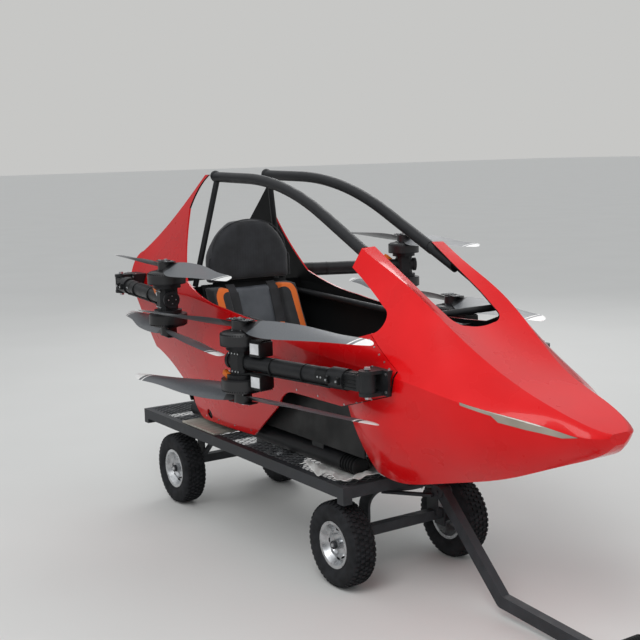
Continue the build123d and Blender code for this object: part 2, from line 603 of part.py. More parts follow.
def seat_pads():
    """Pan cushion, back cushion and the two raised side bolsters, as four plain blocks."""
    slope = 44 / (SEAT_FRONT_X - SEAT_BACK_X - 40)
    under = SEAT_SHELL / 2 + 0.4
    pan = [(SEAT_FRONT_X - 5, SEAT_PAN_Z + 22 + under), (SEAT_BACK_X + 150, SEAT_PAN_Z - 22 + 110 * slope + under),
           (SEAT_BACK_X + 130, SEAT_PAN_Z + 48), (SEAT_FRONT_X - 25, SEAT_PAN_Z + 88)]
    back = [(314, 705), (352, 722), (244, 1032), (188, 1032)]
    bolster = [(314, 705), (450, 637), (795, 670), (797, 728), (700, 752), (450, 758), (398, 800), (338, 905),
               (274, 1030), (188, 1032)]
    solids = [seat_profile(profile, -CUSHION_HALF_WIDTH, CUSHION_HALF_WIDTH) for profile in (pan, back)]
    solids.append(seat_profile(bolster, BOLSTER_INNER_Y, BOLSTER_OUTER_Y))
    solids.append(seat_profile(bolster, -BOLSTER_OUTER_Y, -BOLSTER_INNER_Y))
    return solids


def headrest():
    half, top, foot = SEAT_WIDTH / 2, HEADREST_TOP_Z, SEAT_BACK_TOP_Z + 4
    edges = [
        Line((-half, foot), (half, foot)), Line((half, foot), (half, foot + 120)),
        ThreePointArc((half, foot + 120), (half - 62, top - 62), (half - 135, top - 4)),
        ThreePointArc((half - 135, top - 4), (0, top), (135 - half, top - 4)),
        ThreePointArc((135 - half, top - 4), (62 - half, top - 62), (-half, foot + 120)),
        Line((-half, foot + 120), (-half, foot)),
    ]
    face = Plane.YZ.offset(HEADREST_BACK_X) * make_face(Curve() + edges)
    return extrude(face, HEADREST_THICKNESS)


def harness():
    """Two shoulder straps over the back cushion."""
    return [flat_bar((248, y, 1026), (352.4, y, 728), STRAP_WIDTH, STRAP_THICKNESS) for y in (-STRAP_Y, STRAP_Y)]


# Hinges, arms and rotors

def bracket(pivot, chine_y, chine_z):
    """Hinge block on the skin: a base that follows the chine, two lugs and the pivot pin."""
    x, y, z = pivot
    half = KNUCKLE_HEIGHT / 2 + LUG_GAP
    low, high = z - half - LUG_THICKNESS, z + half + LUG_THICKNESS
    slope = (high - chine_z) * BRACKET_LEAN
    profile = [(chine_y, low), (chine_y, chine_z), (chine_y - slope, high), (y - BRACKET_OFFSET, high),
               (y - BRACKET_OFFSET, low)]
    base = extrude(Plane.YZ.offset(x) * make_face(Polyline(profile, close=True)), BRACKET_HALF_LENGTH,
                   both=True)
    whole = base
    for side in (-1, 1):
        z0, z1 = sorted((z + side * half, z + side * (half + LUG_THICKNESS)))
        whole += box_between(x - LUG_RADIUS, x + LUG_RADIUS, y - BRACKET_OFFSET - 1, y, z0, z1)
        whole += rod((x, y, z0), (x, y, z1), LUG_RADIUS)
    whole += rod((x, y, low - 5), (x, y, high + 5), PIVOT_PIN_RADIUS)
    return whole


def arm(length):
    """Arm along +X from its pivot: knuckle, socket, tube, motor clamp and end cap."""
    whole = Cylinder(KNUCKLE_RADIUS, KNUCKLE_HEIGHT)
    whole += box_between(0, KNUCKLE_LENGTH, -KNUCKLE_RADIUS + 3, KNUCKLE_RADIUS - 3, -28, 28)
    whole += rod((SOCKET_START, 0, 0), (SOCKET_END, 0, 0), SOCKET_RADIUS)
    tube_end = length + ARM_TUBE_OVERHANG
    whole += rod((KNUCKLE_LENGTH, 0, 0), (tube_end, 0, 0), ARM_TUBE_RADIUS)
    whole += rod((tube_end - END_CAP_LENGTH / 2, 0, 0), (tube_end + END_CAP_LENGTH / 2, 0, 0),
                 ARM_TUBE_RADIUS + 4)
    clamp = Box(CLAMP_SIZE, CLAMP_SIZE, 2 * CLAMP_HALF_HEIGHT)
    clamp = chamfer(clamp.edges().filter_by(Axis.Z), 18)
    whole += Pos(length, 0, 0) * clamp
    return whole - Cylinder(PIVOT_PIN_RADIUS + PIVOT_CLEARANCE, 2 * KNUCKLE_HEIGHT)


def stators(length):
    """The fixed halves of the motor pair, above and below the clamp."""
    upper = Cylinder(STATOR_RADIUS, STATOR_HEIGHT)
    offset_z = CLAMP_HALF_HEIGHT + STATOR_HEIGHT / 2
    return [Pos(length, 0, offset_z) * upper, Pos(length, 0, -offset_z) * upper]


# radius, chord, pitch in degrees, trailing shift
BLADE_SECTIONS = [
    (26, 40, 30, 0), (110, 94, 27, 0), (220, 122, 21, 0), (400, 106, 14, 2), (590, 74, 10, 6),
    (672, 50, 9, 12), (705, 14, 9, 26),
]


def blade(hand):
    faces = []
    for radius, chord, pitch, shift in BLADE_SECTIONS:
        thick = max(chord * BLADE_THICKNESS, 2.2)
        nose, tail = -0.4 * chord + shift, 0.6 * chord + shift
        top = ThreePointArc((nose, 0), (nose + 0.4 * chord, thick * 0.75), (tail, 0))
        low = ThreePointArc((tail, 0), (nose + 0.4 * chord, -thick * 0.25), (nose, 0))
        tilt = math.radians(pitch) * hand
        plane = Plane(origin=(radius * ROTOR_RADIUS / BLADE_SECTIONS[-1][0], 0, 0),
                      x_dir=(0, hand * -math.cos(tilt), -math.sin(tilt) * hand), z_dir=(1, 0, 0))
        faces.append(plane * make_face(Curve() + [top, low]))
    return loft(faces)


def rotor(hand):
    """Motor bell, hub plates and the two-blade propeller, along +X, turning about Z."""
    bottom = CLAMP_HALF_HEIGHT + STATOR_HEIGHT + BELL_GAP
    top = bottom + BELL_HEIGHT
    bell_profile = [
        (0, bottom), (BELL_RADIUS - 6, bottom), (BELL_RADIUS, bottom + 5), (BELL_RADIUS, top - 16),
        (BELL_RADIUS - 10, top - 4), (BELL_RADIUS - 30, top), (0, top),
    ]
    whole = revolve(Plane.XZ * make_face(Polyline(bell_profile, close=True)), Axis.Z, 360)
    whole += Pos(0, 0, (top + ROTOR_PLANE + HUB_HEIGHT) / 2) * Cylinder(
        HUB_RADIUS, ROTOR_PLANE + HUB_HEIGHT - top)
    one = blade(hand)
    pair = Pos(0, 0, ROTOR_PLANE) * one
    whole += pair
    whole += Rot(0, 0, 180) * pair
    return whole


# name, pivot, side, length, heading sign along X, angle out from the fuselage,
# forward azimuth of the upper and the lower propeller
ARMS = [
    ("right_front", FRONT_PIVOT, -1, FRONT_ARM_LENGTH, -1, 10.0, 10.5, 12.0),
    ("left_front", FRONT_PIVOT, 1, FRONT_ARM_LENGTH, -1, 10.0, -10.0, -10.0),
    ("right_rear", REAR_PIVOT, -1, REAR_ARM_LENGTH, 1, 8.0, -5.5, -9.0),
    ("left_rear", REAR_PIVOT, 1, REAR_ARM_LENGTH, 1, 65.0, -6.0, -10.0),
]


def arm_heading(side, along, angle):
    """Direction of the arm from its pivot, as degrees about Z from +X."""
    return side * angle if along > 0 else 180 - side * angle


def motor_axis(pivot, side, length, along, angle):
    heading = math.radians(arm_heading(side, along, angle))
    return pivot[0] + length * math.cos(heading), side * pivot[1] + length * math.sin(heading), pivot[2]


def arm_nodes():
    nodes = {}
    for name, pivot, side, length, along, angle, upper_azimuth, lower_azimuth in ARMS:
        place = Pos(pivot[0], side * pivot[1], pivot[2]) * Rot(0, 0, arm_heading(side, along, angle))
        nodes[name + "_arm"] = place * arm(length)
        nodes[name + "_stators"] = [place * s for s in stators(length)]
        centre = motor_axis(pivot, side, length, along, angle)
        nodes[name + "_upper_rotor"] = Pos(*centre) * Rot(0, 0, upper_azimuth) * UPPER_ROTOR
        nodes[name + "_lower_rotor"] = Pos(*centre) * Rot(0, 0, lower_azimuth) * LOWER_ROTOR
    return nodes


UPPER_ROTOR = rotor(1)
LOWER_ROTOR = mirror(rotor(1), about=Plane.XY)


def build():
    nodes = {}
    lamp = make_face(Polyline(LAMP_OUTLINE, close=True))
    nose = hollow_skin(NOSE_SECTIONS, NOSE_TIP_WALL) & side_prism(NOSE_OUTLINE)
    nose -= cockpit_cut()
    nodes["nose_shell"] = nose - extrude(Plane.XZ * lamp, 600, both=True)
    nodes["lamp_strips"] = nose & extrude(Plane.XZ * offset(lamp, -LAMP_GAP), 600, both=True)
    flanks = hollow_skin(BODY_SECTIONS) & side_prism(FLANK_OUTLINE)
    hole_x, hole_z, hole_radius = SKIRT_HOLE
    flanks -= rod((hole_x, -400, hole_z), (hole_x, 400, hole_z), hole_radius)
    left_flank = max(flanks.solids(), key=lambda solid: solid.center().Y)
    nodes["left_flank"] = left_flank
    nodes["right_flank"] = mirrored(left_flank)
    nodes["cockpit_tub"] = tub()
    nodes["bulkhead"] = bulkhead()
    nodes["front_former"] = front_former()
    left_tube = roll_tube()
    nodes["left_roll_tube"] = left_tube
    nodes["right_roll_tube"] = mirrored(left_tube)
    nodes["dash_bar"] = dash_bar()
    nodes["sill_rails"] = sill_rails()
    nodes["tail_frame"] = tail_frame()
    nodes["skids"] = skids()
    nodes["skid_buffers"] = buffers()
    nodes["battery_pack"] = box_between(440, 700, -130, 130, TUB_FLOOR_Z + TUB_WALL + FIT_GAP, 600)
    nodes["seat_shell"] = seat_shell()
    pads = seat_pads()
    nodes["seat_cushion"] = pads[0]
    nodes["back_cushion"] = pads[1]
    nodes["side_bolsters"] = pads[2:]
    nodes["headrest"] = headrest()
    nodes["harness"] = harness()
    for label, pivot, seat in (("front_hinges", FRONT_PIVOT, FRONT_BRACKET_SEAT),
                               ("rear_hinges", REAR_PIVOT, REAR_BRACKET_SEAT)):
        left = bracket(pivot, *seat)
        nodes[label] = [left, mirrored(left)]
    nodes.update(arm_nodes())
    nodes["deck_frame"] = deck_frame()
    nodes["deck_mesh"] = deck_mesh()
    nodes["rear_axle"] = rear_axle()
    nodes["front_bogie"] = front_bogie()
    nodes["drawbar"] = drawbar()
    nodes["front_padding"] = box_between(1130, DECK_FRONT_X - 4, -318, 318, DECK_TOP_Z, DECK_TOP_Z + PADDING)
    nodes["rear_board"] = box_between(120, 430, -318, 318, DECK_TOP_Z, DECK_TOP_Z + PADDING)
    for x, end in ((0.0, "rear"), (WHEELBASE, "front")):
        for side, name in ((1, "left"), (-1, "right")):
            rim, tyre = wheel(side)
            place = Pos(x, side * TRACK / 2, WHEEL_DIAMETER / 2)
            nodes[f"{end}_{name}_rim"] = place * rim
            nodes[f"{end}_{name}_tyre"] = place * tyre
    return nodes


def solids_of(shape):
    parts = shape if isinstance(shape, list) else [shape]
    return [solid for part in parts for solid in part.solids()]


def origin_shift(nodes):
    """The floor point under the middle of the whole outline."""
    boxes = [solid.bounding_box() for shape in nodes.values() for solid in solids_of(shape)]
    x = (min(b.min.X for b in boxes) + max(b.max.X for b in boxes)) / 2
    y = (min(b.min.Y for b in boxes) + max(b.max.Y for b in boxes)) / 2
    return x, y, min(b.min.Z for b in boxes)


NODES = build()
SHIFT = origin_shift(NODES)
print("origin at", [round(v, 3) for v in SHIFT])
os.makedirs("parts", exist_ok=True)
for node_name, shape in NODES.items():
    moved = [Pos(-SHIFT[0], -SHIFT[1], -SHIFT[2]) * solid for solid in solids_of(shape)]
    export_step(Compound(moved) if len(moved) > 1 else moved[0], f"parts/{node_name}.step")
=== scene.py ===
# %% [markdown]
# A small electric aircraft with folded rotor arms stands on a four wheeled trolley. Its hard parts
# come ready made from the CAD model. This lesson gives each of them its finish, swaps the plain
# tyres, pads and meshes for detailed ones, and adds the small fittings that sell the size.

# %% Load the CAD model as a fixed frame
import bmesh
import bpy
import json
import math
from collections import namedtuple
from mathutils import Matrix, Vector
from mathutils.bvhtree import BVHTree


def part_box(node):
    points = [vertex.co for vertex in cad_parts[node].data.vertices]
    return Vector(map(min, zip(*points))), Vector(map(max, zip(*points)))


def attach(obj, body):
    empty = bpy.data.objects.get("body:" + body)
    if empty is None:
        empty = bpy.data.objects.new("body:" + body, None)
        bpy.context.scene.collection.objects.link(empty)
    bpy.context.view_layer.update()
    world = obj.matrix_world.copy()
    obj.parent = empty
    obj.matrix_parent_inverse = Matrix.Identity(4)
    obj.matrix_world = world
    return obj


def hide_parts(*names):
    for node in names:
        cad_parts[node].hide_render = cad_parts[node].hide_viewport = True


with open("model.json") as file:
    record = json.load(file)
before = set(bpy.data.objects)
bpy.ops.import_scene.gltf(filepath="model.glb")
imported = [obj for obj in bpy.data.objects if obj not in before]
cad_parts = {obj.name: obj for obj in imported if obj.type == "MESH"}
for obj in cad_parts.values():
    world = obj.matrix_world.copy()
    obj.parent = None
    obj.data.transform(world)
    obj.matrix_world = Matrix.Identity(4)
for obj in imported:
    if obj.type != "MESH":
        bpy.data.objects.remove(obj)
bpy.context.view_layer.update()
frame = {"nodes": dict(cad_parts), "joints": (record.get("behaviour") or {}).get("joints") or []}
nodes = frame["nodes"]

# %% [markdown]
# The CAD model was drawn from the rear axle and then moved to the middle of its outline. The
# camera and the small fittings were measured from the rear axle as well, so one helper turns such
# a place, in millimetres, into the scene's metres.

# %% Measures from the rear axle
SHIFT = Vector((936.014, 272.549, 0.0))
WHEEL_Y, WHEEL_Z, WHEELBASE = 272.5, 165, 1340


def at(x, y, z):
    """A place counted in millimetres from the rear axle, as metres in the scene."""
    return (Vector((x, y, z)) - SHIFT) / 1000


print("rear axle at", tuple(round(v, 3) for v in at(0, 0, WHEEL_Z)))

# %% [markdown]
# The camera stands at eye height in front of the nose, a little to the right side. Its direction
# is written as three unit vectors, which is exact and avoids the order of the Euler angles.

# %% Camera
FOCAL_PIXELS, PHOTO_PIXELS, SENSOR_MM = 1131.0, 640.0, 36.0
EYE = at(4728, -2559, 1608)


def add_object(name, data):
    """A new object in the scene."""
    made = bpy.data.objects.new(name, data)
    bpy.context.scene.collection.objects.link(made)
    return made


look = Vector((-0.8283, 0.5414, -0.1440))
right = Vector((0.5502, 0.8346, -0.0269))
up = Vector((-0.1056, 0.1015, 0.9891))
camera_data = bpy.data.cameras.new("camera")
camera_data.sensor_width = SENSOR_MM
camera_data.lens = FOCAL_PIXELS / PHOTO_PIXELS * SENSOR_MM
camera_data.clip_start = 0.05
camera = add_object("camera", camera_data)
turn = Matrix((right, up, -look)).transposed().to_4x4()
camera.matrix_world = Matrix.Translation(EYE) @ turn
bpy.context.scene.camera = camera
bpy.context.scene.view_settings.view_transform = "Standard"
print("lens", round(camera_data.lens, 1), "mm")

# %% [markdown]
# Colours are noted as sRGB hex values, as a paint chart gives them, and shaders want linear light.
# One function converts them. The others each add one node with its settings and links, so that
# every material below reads as a short list of nodes.

# %% Helpers for materials
def hex_linear(text):
    """An sRGB hex value as linear red, green and blue with full alpha."""
    values = [int(text[i:i + 2], 16) / 255 for i in (1, 3, 5)]
    linear = [v / 12.92 if v <= 0.04045 else ((v + 0.055) / 1.055) ** 2.4 for v in values]
    return (*linear, 1.0)


def new_material(name, settings):
    """A Principled material with plain socket values, and the node tree to add detail to."""
    material = bpy.data.materials.new(name)
    material.use_nodes = True
    tree = material.node_tree
    shader = tree.nodes["Principled BSDF"]
    for socket, value in settings.items():
        shader.inputs[socket].default_value = value
    return material, tree, shader


def add(tree, kind, settings=None, **links):
    """Adds a node. Settings name its properties or sockets, and links name what feeds a socket."""
    made = tree.nodes.new(kind)
    for name, value in (settings or {}).items():
        if name in made.inputs:
            made.inputs[name].default_value = value
        else:
            setattr(made, name, value)
    for name, source in links.items():
        tree.links.new(source, made.inputs[name])
    return made


def feed(tree, socket, value):
    """Links a socket to its source, or gives it a plain value."""
    if isinstance(value, bpy.types.NodeSocket):
        tree.links.new(value, socket)
    else:
        socket.default_value = value


def maths(tree, operation, *values, kind="ShaderNodeMath"):
    """A number worked out from plain values or sockets, also by the vector kind of the node."""
    made = add(tree, kind, {"operation": operation})
    for socket, value in zip(made.inputs, values):
        feed(tree, socket, value)
    return made.outputs["Value"]


def mix(tree, factor, first, second):
    """The first colour where the factor is zero and the second where it is one."""
    made = add(tree, "ShaderNodeMix", {"data_type": "RGBA"})
    for index, value in ((0, factor), (6, first), (7, second)):
        feed(tree, made.inputs[index], value)
    return made.outputs[2]


def place(tree, centre=(0, 0, 0)):
    """Object coordinates, moved so that the given place is the pattern's middle."""
    coordinates = add(tree, "ShaderNodeTexCoord").outputs["Object"]
    mapping = {"vector_type": "TEXTURE", "Location": centre}
    return add(tree, "ShaderNodeMapping", mapping, Vector=coordinates).outputs["Vector"]


def noise(tree, size_mm, detail):
    """Noise whose blobs are about size_mm across."""
    settings = {"Scale": 1000.0 / size_mm, "Detail": detail}
    return add(tree, "ShaderNodeTexNoise", settings, Vector=place(tree)).outputs["Fac"]


def level(tree, factor, low, high, from_min=0.3, from_max=0.7):
    """A number between low and high, driven by a factor."""
    spans = {"From Min": from_min, "From Max": from_max, "To Min": low, "To Max": high}
    return add(tree, "ShaderNodeMapRange", spans, Value=factor).outputs["Result"]


def ramp(tree, factor, low, high, from_min=0.35, from_max=0.65):
    """Two hex colours mixed by a factor that is stretched to the full range."""
    stretched = level(tree, factor, 0.0, 1.0, from_min, from_max)
    return mix(tree, stretched, hex_linear(low), hex_linear(high))


def bump(tree, shader, height, distance_mm, strength):
    """Bump from a height pattern whose relief is distance_mm deep."""
    settings = {"Strength": strength, "Distance": distance_mm / 1000}
    made = add(tree, "ShaderNodeBump", settings, Height=height)
    tree.links.new(made.outputs["Normal"], shader.inputs["Normal"])


def paint(tree, shader, *shades):
    """A ramp as the base colour."""
    tree.links.new(ramp(tree, *shades), shader.inputs["Base Color"])


print("red test:", [round(v, 3) for v in hex_linear("#C8161A")][:3])

# %% [markdown]
# The skin is glass fibre: glossy red gelcoat outside, bare black laminate inside. A face that looks
# away from the middle line of the body is outside, so the sign of one dot product picks the finish.
# The clear coat gives the wet highlight, and the dust dulls it in patches. The flanks get a darker
# copy of the red than the nose, which is painted shade on the sides.

# %% Red gelcoat outside, black laminate inside
TIP_START = 2.25  # metres ahead of the rear axle, where the nose is closed and red all over
COAT_WEIGHT = 0.65
LAMINATE_ROUGHER = 0.3  # how much rougher the bare laminate is than the gelcoat


def skin_finish(name, middle_height, low_red, high_red):
    material, tree, shader = new_material(name, {
        "Specular IOR Level": 0.25, "Coat Roughness": 0.05, "Coat IOR": 1.3, "IOR": 1.35})
    vector = place(tree, centre=at(0, 0, middle_height))
    parts = add(tree, "ShaderNodeSeparateXYZ", Vector=vector).outputs
    across = add(tree, "ShaderNodeCombineXYZ", Y=parts["Y"], Z=parts["Z"]).outputs[0]
    normal = add(tree, "ShaderNodeTexCoord").outputs["Normal"]
    facing = maths(tree, "DOT_PRODUCT", across, normal, kind="ShaderNodeVectorMath")
    inward = maths(tree, "LESS_THAN", facing, 0.0)
    hollow = maths(tree, "LESS_THAN", parts["X"], TIP_START)
    inside = maths(tree, "MULTIPLY", inward, hollow)
    dust = noise(tree, 160.0, 3.0)
    colour = mix(tree, inside, ramp(tree, dust, low_red, high_red), hex_linear("#161718"))
    tree.links.new(colour, shader.inputs["Base Color"])
    coat = level(tree, inside, COAT_WEIGHT, 0.0, 0.0, 1.0)
    tree.links.new(coat, shader.inputs["Coat Weight"])
    dulled = level(tree, dust, 0.24, 0.34)
    rough = maths(tree, "MULTIPLY_ADD", inside, LAMINATE_ROUGHER, dulled)
    tree.links.new(rough, shader.inputs["Roughness"])
    return material


NOSE_RED = skin_finish("red_gelcoat_nose", 746, "#D4070D", "#DB0C12")
# the same gelcoat as the nose, painted darker: this darker red is painted shade on the sides
FLANK_RED_PAINTED_SHADE = skin_finish("red_gelcoat_flanks_painted_shade", 800, "#C4040A", "#CC080E")
print("made", NOSE_RED.name, FLANK_RED_PAINTED_SHADE.name)

# %% [markdown]
# Powder coat on steel tube is matt, with a fine orange peel about two millimetres wide. The trolley
# has the same coat in anthracite, with grey scuffs where it is stepped on and pushed about. Moulded
# black shells share the recipe with a coarser peel. Their near-black is partly their own colour and
# partly painted shade inside the body.

# %% Powder coats
def powder_coat(name, dark, light, rough_low, rough_high, peel_mm=1.6, scuff_mm=45.0):
    material, tree, shader = new_material(name, {"Roughness": rough_high, "Specular IOR Level": 0.3})
    scuffs = noise(tree, scuff_mm, 6.0)
    paint(tree, shader, scuffs, dark, light, 0.42, 0.75)
    tree.links.new(level(tree, scuffs, rough_low, rough_high), shader.inputs["Roughness"])
    bump(tree, shader, noise(tree, peel_mm, 1.0), 0.06, 0.5)
    return material


BLACK_TUBE = powder_coat("black_powder_coat", "#1A1B1D", "#242527", 0.38, 0.55)
TROLLEY = powder_coat("anthracite_powder_coat", "#2C2E31", "#3A3C40", 0.42, 0.62, 2.0, 60.0)
DECK_GREY = powder_coat("grey_coated_mesh", "#6B6D70", "#85878A", 0.45, 0.6, 2.0, 40.0)
# near-black: partly the composite's own black, partly painted shade inside the body
BLACK_SHELL_AND_SHADE = powder_coat("black_moulded_composite", "#0B0C0D", "#161718", 0.35, 0.6, 3.0, 80.0)
print("made", BLACK_TUBE.name, TROLLEY.name, DECK_GREY.name, BLACK_SHELL_AND_SHADE.name)

# %% [markdown]
# The motors are black anodised aluminium: a metal with a dark, slightly satin skin whose edges and
# faces show fine turning marks. Bright screws are plain zinc plated steel.

# %% Anodised and plated metals
def turned_metal(name, dark, light, rough_low, rough_high, mark_mm, metallic=1.0):
    material, tree, shader = new_material(name, {"Metallic": metallic, "Roughness": rough_high})
    patches = noise(tree, 30.0, 3.0)
    paint(tree, shader, patches, dark, light)
    tree.links.new(level(tree, patches, rough_low, rough_high), shader.inputs["Roughness"])
    bump(tree, shader, noise(tree, mark_mm, 1.0), 0.03, 0.4)
    return material


MOTOR_BLACK = turned_metal("black_anodised_aluminium", "#1B1B1D", "#2B2B2E", 0.32, 0.48, 1.6, 0.55)
PLATED = turned_metal("zinc_plated_steel", "#A9ABAD", "#CFD1D3", 0.22, 0.38, 2.5)
print("made", MOTOR_BLACK.name, PLATED.name)

# %% [markdown]
# A blade is satin dark grey composite. Towards its end come a thin white line, a short dark gap and
# the white tip, so that a turning rotor shows its edge. The motor and hub in its middle are black.
# The distance from the rotor's own axis picks the colour, which needs one material for each rotor.

# %% Rotor blades with white tips
# start and end of a painted ring, in metres from the axis, and its colour
BLADE_RINGS = [(0.634, 2.0, "#E8E8E6"), (0.608, 0.617, "#E8E8E6"), (0.0, 0.088, "#1B1B1D")]


def blade_finish(name, axis):
    material, tree, shader = new_material(name, {
        "Roughness": 0.42, "Coat Weight": 0.15, "Coat Roughness": 0.2})
    parts = add(tree, "ShaderNodeSeparateXYZ", Vector=place(tree, centre=axis)).outputs
    flat = add(tree, "ShaderNodeCombineXYZ", X=parts["X"], Y=parts["Y"]).outputs["Vector"]
    reach = maths(tree, "LENGTH", flat, kind="ShaderNodeVectorMath")
    weave = noise(tree, 5.0, 3.0)
    colour = ramp(tree, weave, "#4D5054", "#565A5E")
    for start, end, tint in BLADE_RINGS:
        after_start = maths(tree, "GREATER_THAN", reach, start)
        before_end = maths(tree, "LESS_THAN", reach, end)
        painted = maths(tree, "MULTIPLY", after_start, before_end)
        colour = mix(tree, painted, colour, hex_linear(tint))
    tree.links.new(colour, shader.inputs["Base Color"])
    bump(tree, shader, weave, 0.05, 0.3)
    return material


def coat_piece(piece, material):
    """Gives a CAD piece this one finish."""
    piece.data.materials.clear()
    piece.data.materials.append(material)


rotor_axes = {j["child"]: Vector(j["pos_m"]) for j in frame["joints"] if j["child"].endswith("_rotor")}
for rotor_name, axis in rotor_axes.items():
    coat_piece(nodes[rotor_name], blade_finish("blade_composite_" + rotor_name, axis))
print(len(rotor_axes), "rotors finished")

# %% [markdown]
# Rubber is nearly black and matt, with a greyish bloom and dust in its hollows. Tyres and buffers
# use it at two roughness levels, and the leads, plugs and small plates below share the recipe.

# %% Rubber
def rubber(name, dark, light, rough):
    material, tree, shader = new_material(name, {"Roughness": rough, "Specular IOR Level": 0.25})
    bloom = noise(tree, 35.0, 5.0)
    paint(tree, shader, bloom, dark, light)
    bump(tree, shader, noise(tree, 3.0, 2.0), 0.1, 0.4)
    return material


TYRE_RUBBER = rubber("tyre_rubber_dusty", "#17181A", "#26272A", 0.78)
BUFFER_RUBBER = rubber("moulded_black_rubber", "#101112", "#18191A", 0.55)
print("made", TYRE_RUBBER.name, BUFFER_RUBBER.name)

# %% [markdown]
# Four covers share one cross weave: the black of the headrest, the orange of the harness tabs, the
# black webbing and the white cotton. Three crossing waves make it, 14 to 19 mm apart, because
# single threads would be lost at the size of the picture.

# %% Woven cloth
WAVE_RADIANS = 20.0  # how far a wave texture of scale one turns over one metre


def woven(name, dark, light, radian_mm=2.2, rough=0.85, sheen=0.25):
    """Cloth whose waves turn by one radian over radian_mm."""
    material, tree, shader = new_material(name, {
        "Roughness": rough, "Sheen Weight": sheen, "Sheen Roughness": 0.5})
    waves = []
    for direction in "XYZ":
        settings = {"bands_direction": direction, "Distortion": 0.6,
                    "Scale": 1000.0 / radian_mm / WAVE_RADIANS}
        waves.append(add(tree, "ShaderNodeTexWave", settings, Vector=place(tree)).outputs["Fac"])
    crossed = maths(tree, "ADD", maths(tree, "MULTIPLY", waves[0], waves[1]), waves[2])
    patches = noise(tree, 60.0, 4.0)
    paint(tree, shader, patches, dark, light)
    bump(tree, shader, crossed, 0.25, 0.5)
    return material


SEAT_BLACK = woven("black_seat_weave", "#1D1E21", "#2A2B2F")
SEAT_ORANGE = woven("orange_vinyl_piping", "#D9661A", "#EE7A24", 3.0, 0.5, 0.05)
WEBBING = woven("black_webbing", "#141416", "#222226", 3.0, 0.7, 0.15)
WHITE_CLOTH = woven("white_cotton_cloth", "#D8D8D4", "#EDEDEA", 2.5, 0.9, 0.3)
print("made", SEAT_BLACK.name, SEAT_ORANGE.name, WEBBING.name, WHITE_CLOTH.name)

# %% [markdown]
# Two covers of the seat need more than a weave. The middle panels are smooth grey vinyl with a fine
# leather grain. The bolsters are black with a sewn-in orange band near the outer edge. The distance
# from the rounded outline of the back picks the colour.

# %% Vinyl panel and banded bolster
BACK_FOOT, BACK_TOP = (352, 722), (240, 1043)  # millimetres ahead of the axle and above the ground
BOLSTER_EDGE, CORNER = 0.2215, 0.075  # half width of the outline and radius of its corners
BAND_START, BAND_END = -0.044, -0.012  # counted outward from the outline


def grey_vinyl():
    material, tree, shader = new_material("grey_grained_vinyl", {
        "Roughness": 0.5, "Specular IOR Level": 0.4})
    wear = noise(tree, 80.0, 3.0)
    paint(tree, shader, wear, "#484B50", "#55585D")
    grain = add(tree, "ShaderNodeTexVoronoi", {"Scale": 450.0}, Vector=place(tree))
    bump(tree, shader, grain.outputs["Distance"], 0.12, 0.4)
    return material


def banded_bolster():
    """The band keeps a fixed distance from the outline of the back, round its top corners too."""
    material, tree, shader = new_material("black_bolster_orange_band", {
        "Roughness": 0.75, "Sheen Weight": 0.15})
    back = Vector((BACK_TOP[0] - BACK_FOOT[0], 0, BACK_TOP[1] - BACK_FOOT[1])).normalized()
    vector = place(tree, centre=at(BACK_TOP[0], 0, BACK_TOP[1]))
    height = maths(tree, "DOT_PRODUCT", vector, back, kind="ShaderNodeVectorMath")
    sideways = add(tree, "ShaderNodeSeparateXYZ", Vector=vector).outputs["Y"]
    from_middle = maths(tree, "ABSOLUTE", sideways)
    across = maths(tree, "ADD", from_middle, CORNER - BOLSTER_EDGE)
    upward = maths(tree, "ADD", height, CORNER)
    corner = add(tree, "ShaderNodeCombineXYZ", X=maths(tree, "MAXIMUM", across, 0.0),
                 Y=maths(tree, "MAXIMUM", upward, 0.0)).outputs[0]
    round_part = maths(tree, "LENGTH", corner, kind="ShaderNodeVectorMath")
    flat_part = maths(tree, "MINIMUM", maths(tree, "MAXIMUM", across, upward), 0.0)
    distance = maths(tree, "SUBTRACT", maths(tree, "ADD", round_part, flat_part), CORNER)
    after_start = maths(tree, "GREATER_THAN", distance, BAND_START)
    band = maths(tree, "MULTIPLY", after_start, maths(tree, "LESS_THAN", distance, BAND_END))
    black = ramp(tree, noise(tree, 60.0, 4.0), "#17181A", "#212225")
    tree.links.new(mix(tree, band, black, hex_linear("#E06A1C")), shader.inputs["Base Color"])
    bump(tree, shader, noise(tree, 2.5, 1.0), 0.2, 0.4)
    return material


SEAT_GREY = grey_vinyl()
BOLSTER = banded_bolster()
print("made", SEAT_GREY.name, BOLSTER.name)

# %% [markdown]
# Two odd finishes are left: the pale board under the skids is raw plywood with its grain along the
# board, and the lamp strips are smoked clear plastic with a pale backing.

# %% Plywood and lamp lens
GRAIN_STRETCH = (14.0, 1.2, 14.0)


def plywood():
    material, tree, shader = new_material("raw_plywood_board", {"Roughness": 0.7})
    coordinates = add(tree, "ShaderNodeTexCoord").outputs["Object"]
    stretched = add(tree, "ShaderNodeMapping", {"Scale": GRAIN_STRETCH}, Vector=coordinates)
    settings = {"Scale": 6.0, "Detail": 6.0}
    grain = add(tree, "ShaderNodeTexNoise", settings, Vector=stretched.outputs["Vector"]).outputs["Fac"]
    paint(tree, shader, grain, "#9C978C", "#C2BDB2")
    bump(tree, shader, grain, 0.2, 0.4)
    return material


def lamp_lens():
    material, tree, shader = new_material("smoked_clear_polycarbonate", {
        "Roughness": 0.16, "Coat Weight": 1.0, "Coat Roughness": 0.05, "IOR": 1.58})
    smoke = noise(tree, 120.0, 2.0)
    paint(tree, shader, smoke, "#8B8174", "#A59B8D")
    settings = {"bands_direction": "X", "Scale": 15.0}
    prisms = add(tree, "ShaderNodeTexWave", settings, Vector=place(tree))
    bump(tree, shader, prisms.outputs["Fac"], 0.05, 0.15)
    return material


PLYWOOD = plywood()
LENS = lamp_lens()
print("made", PLYWOOD.name, LENS.name)

# %% [markdown]
# Each CAD piece keeps its mesh and only gets a better finish. A short table pairs the materials
# with names, or with the endings of names. All that it leaves out is black tube.

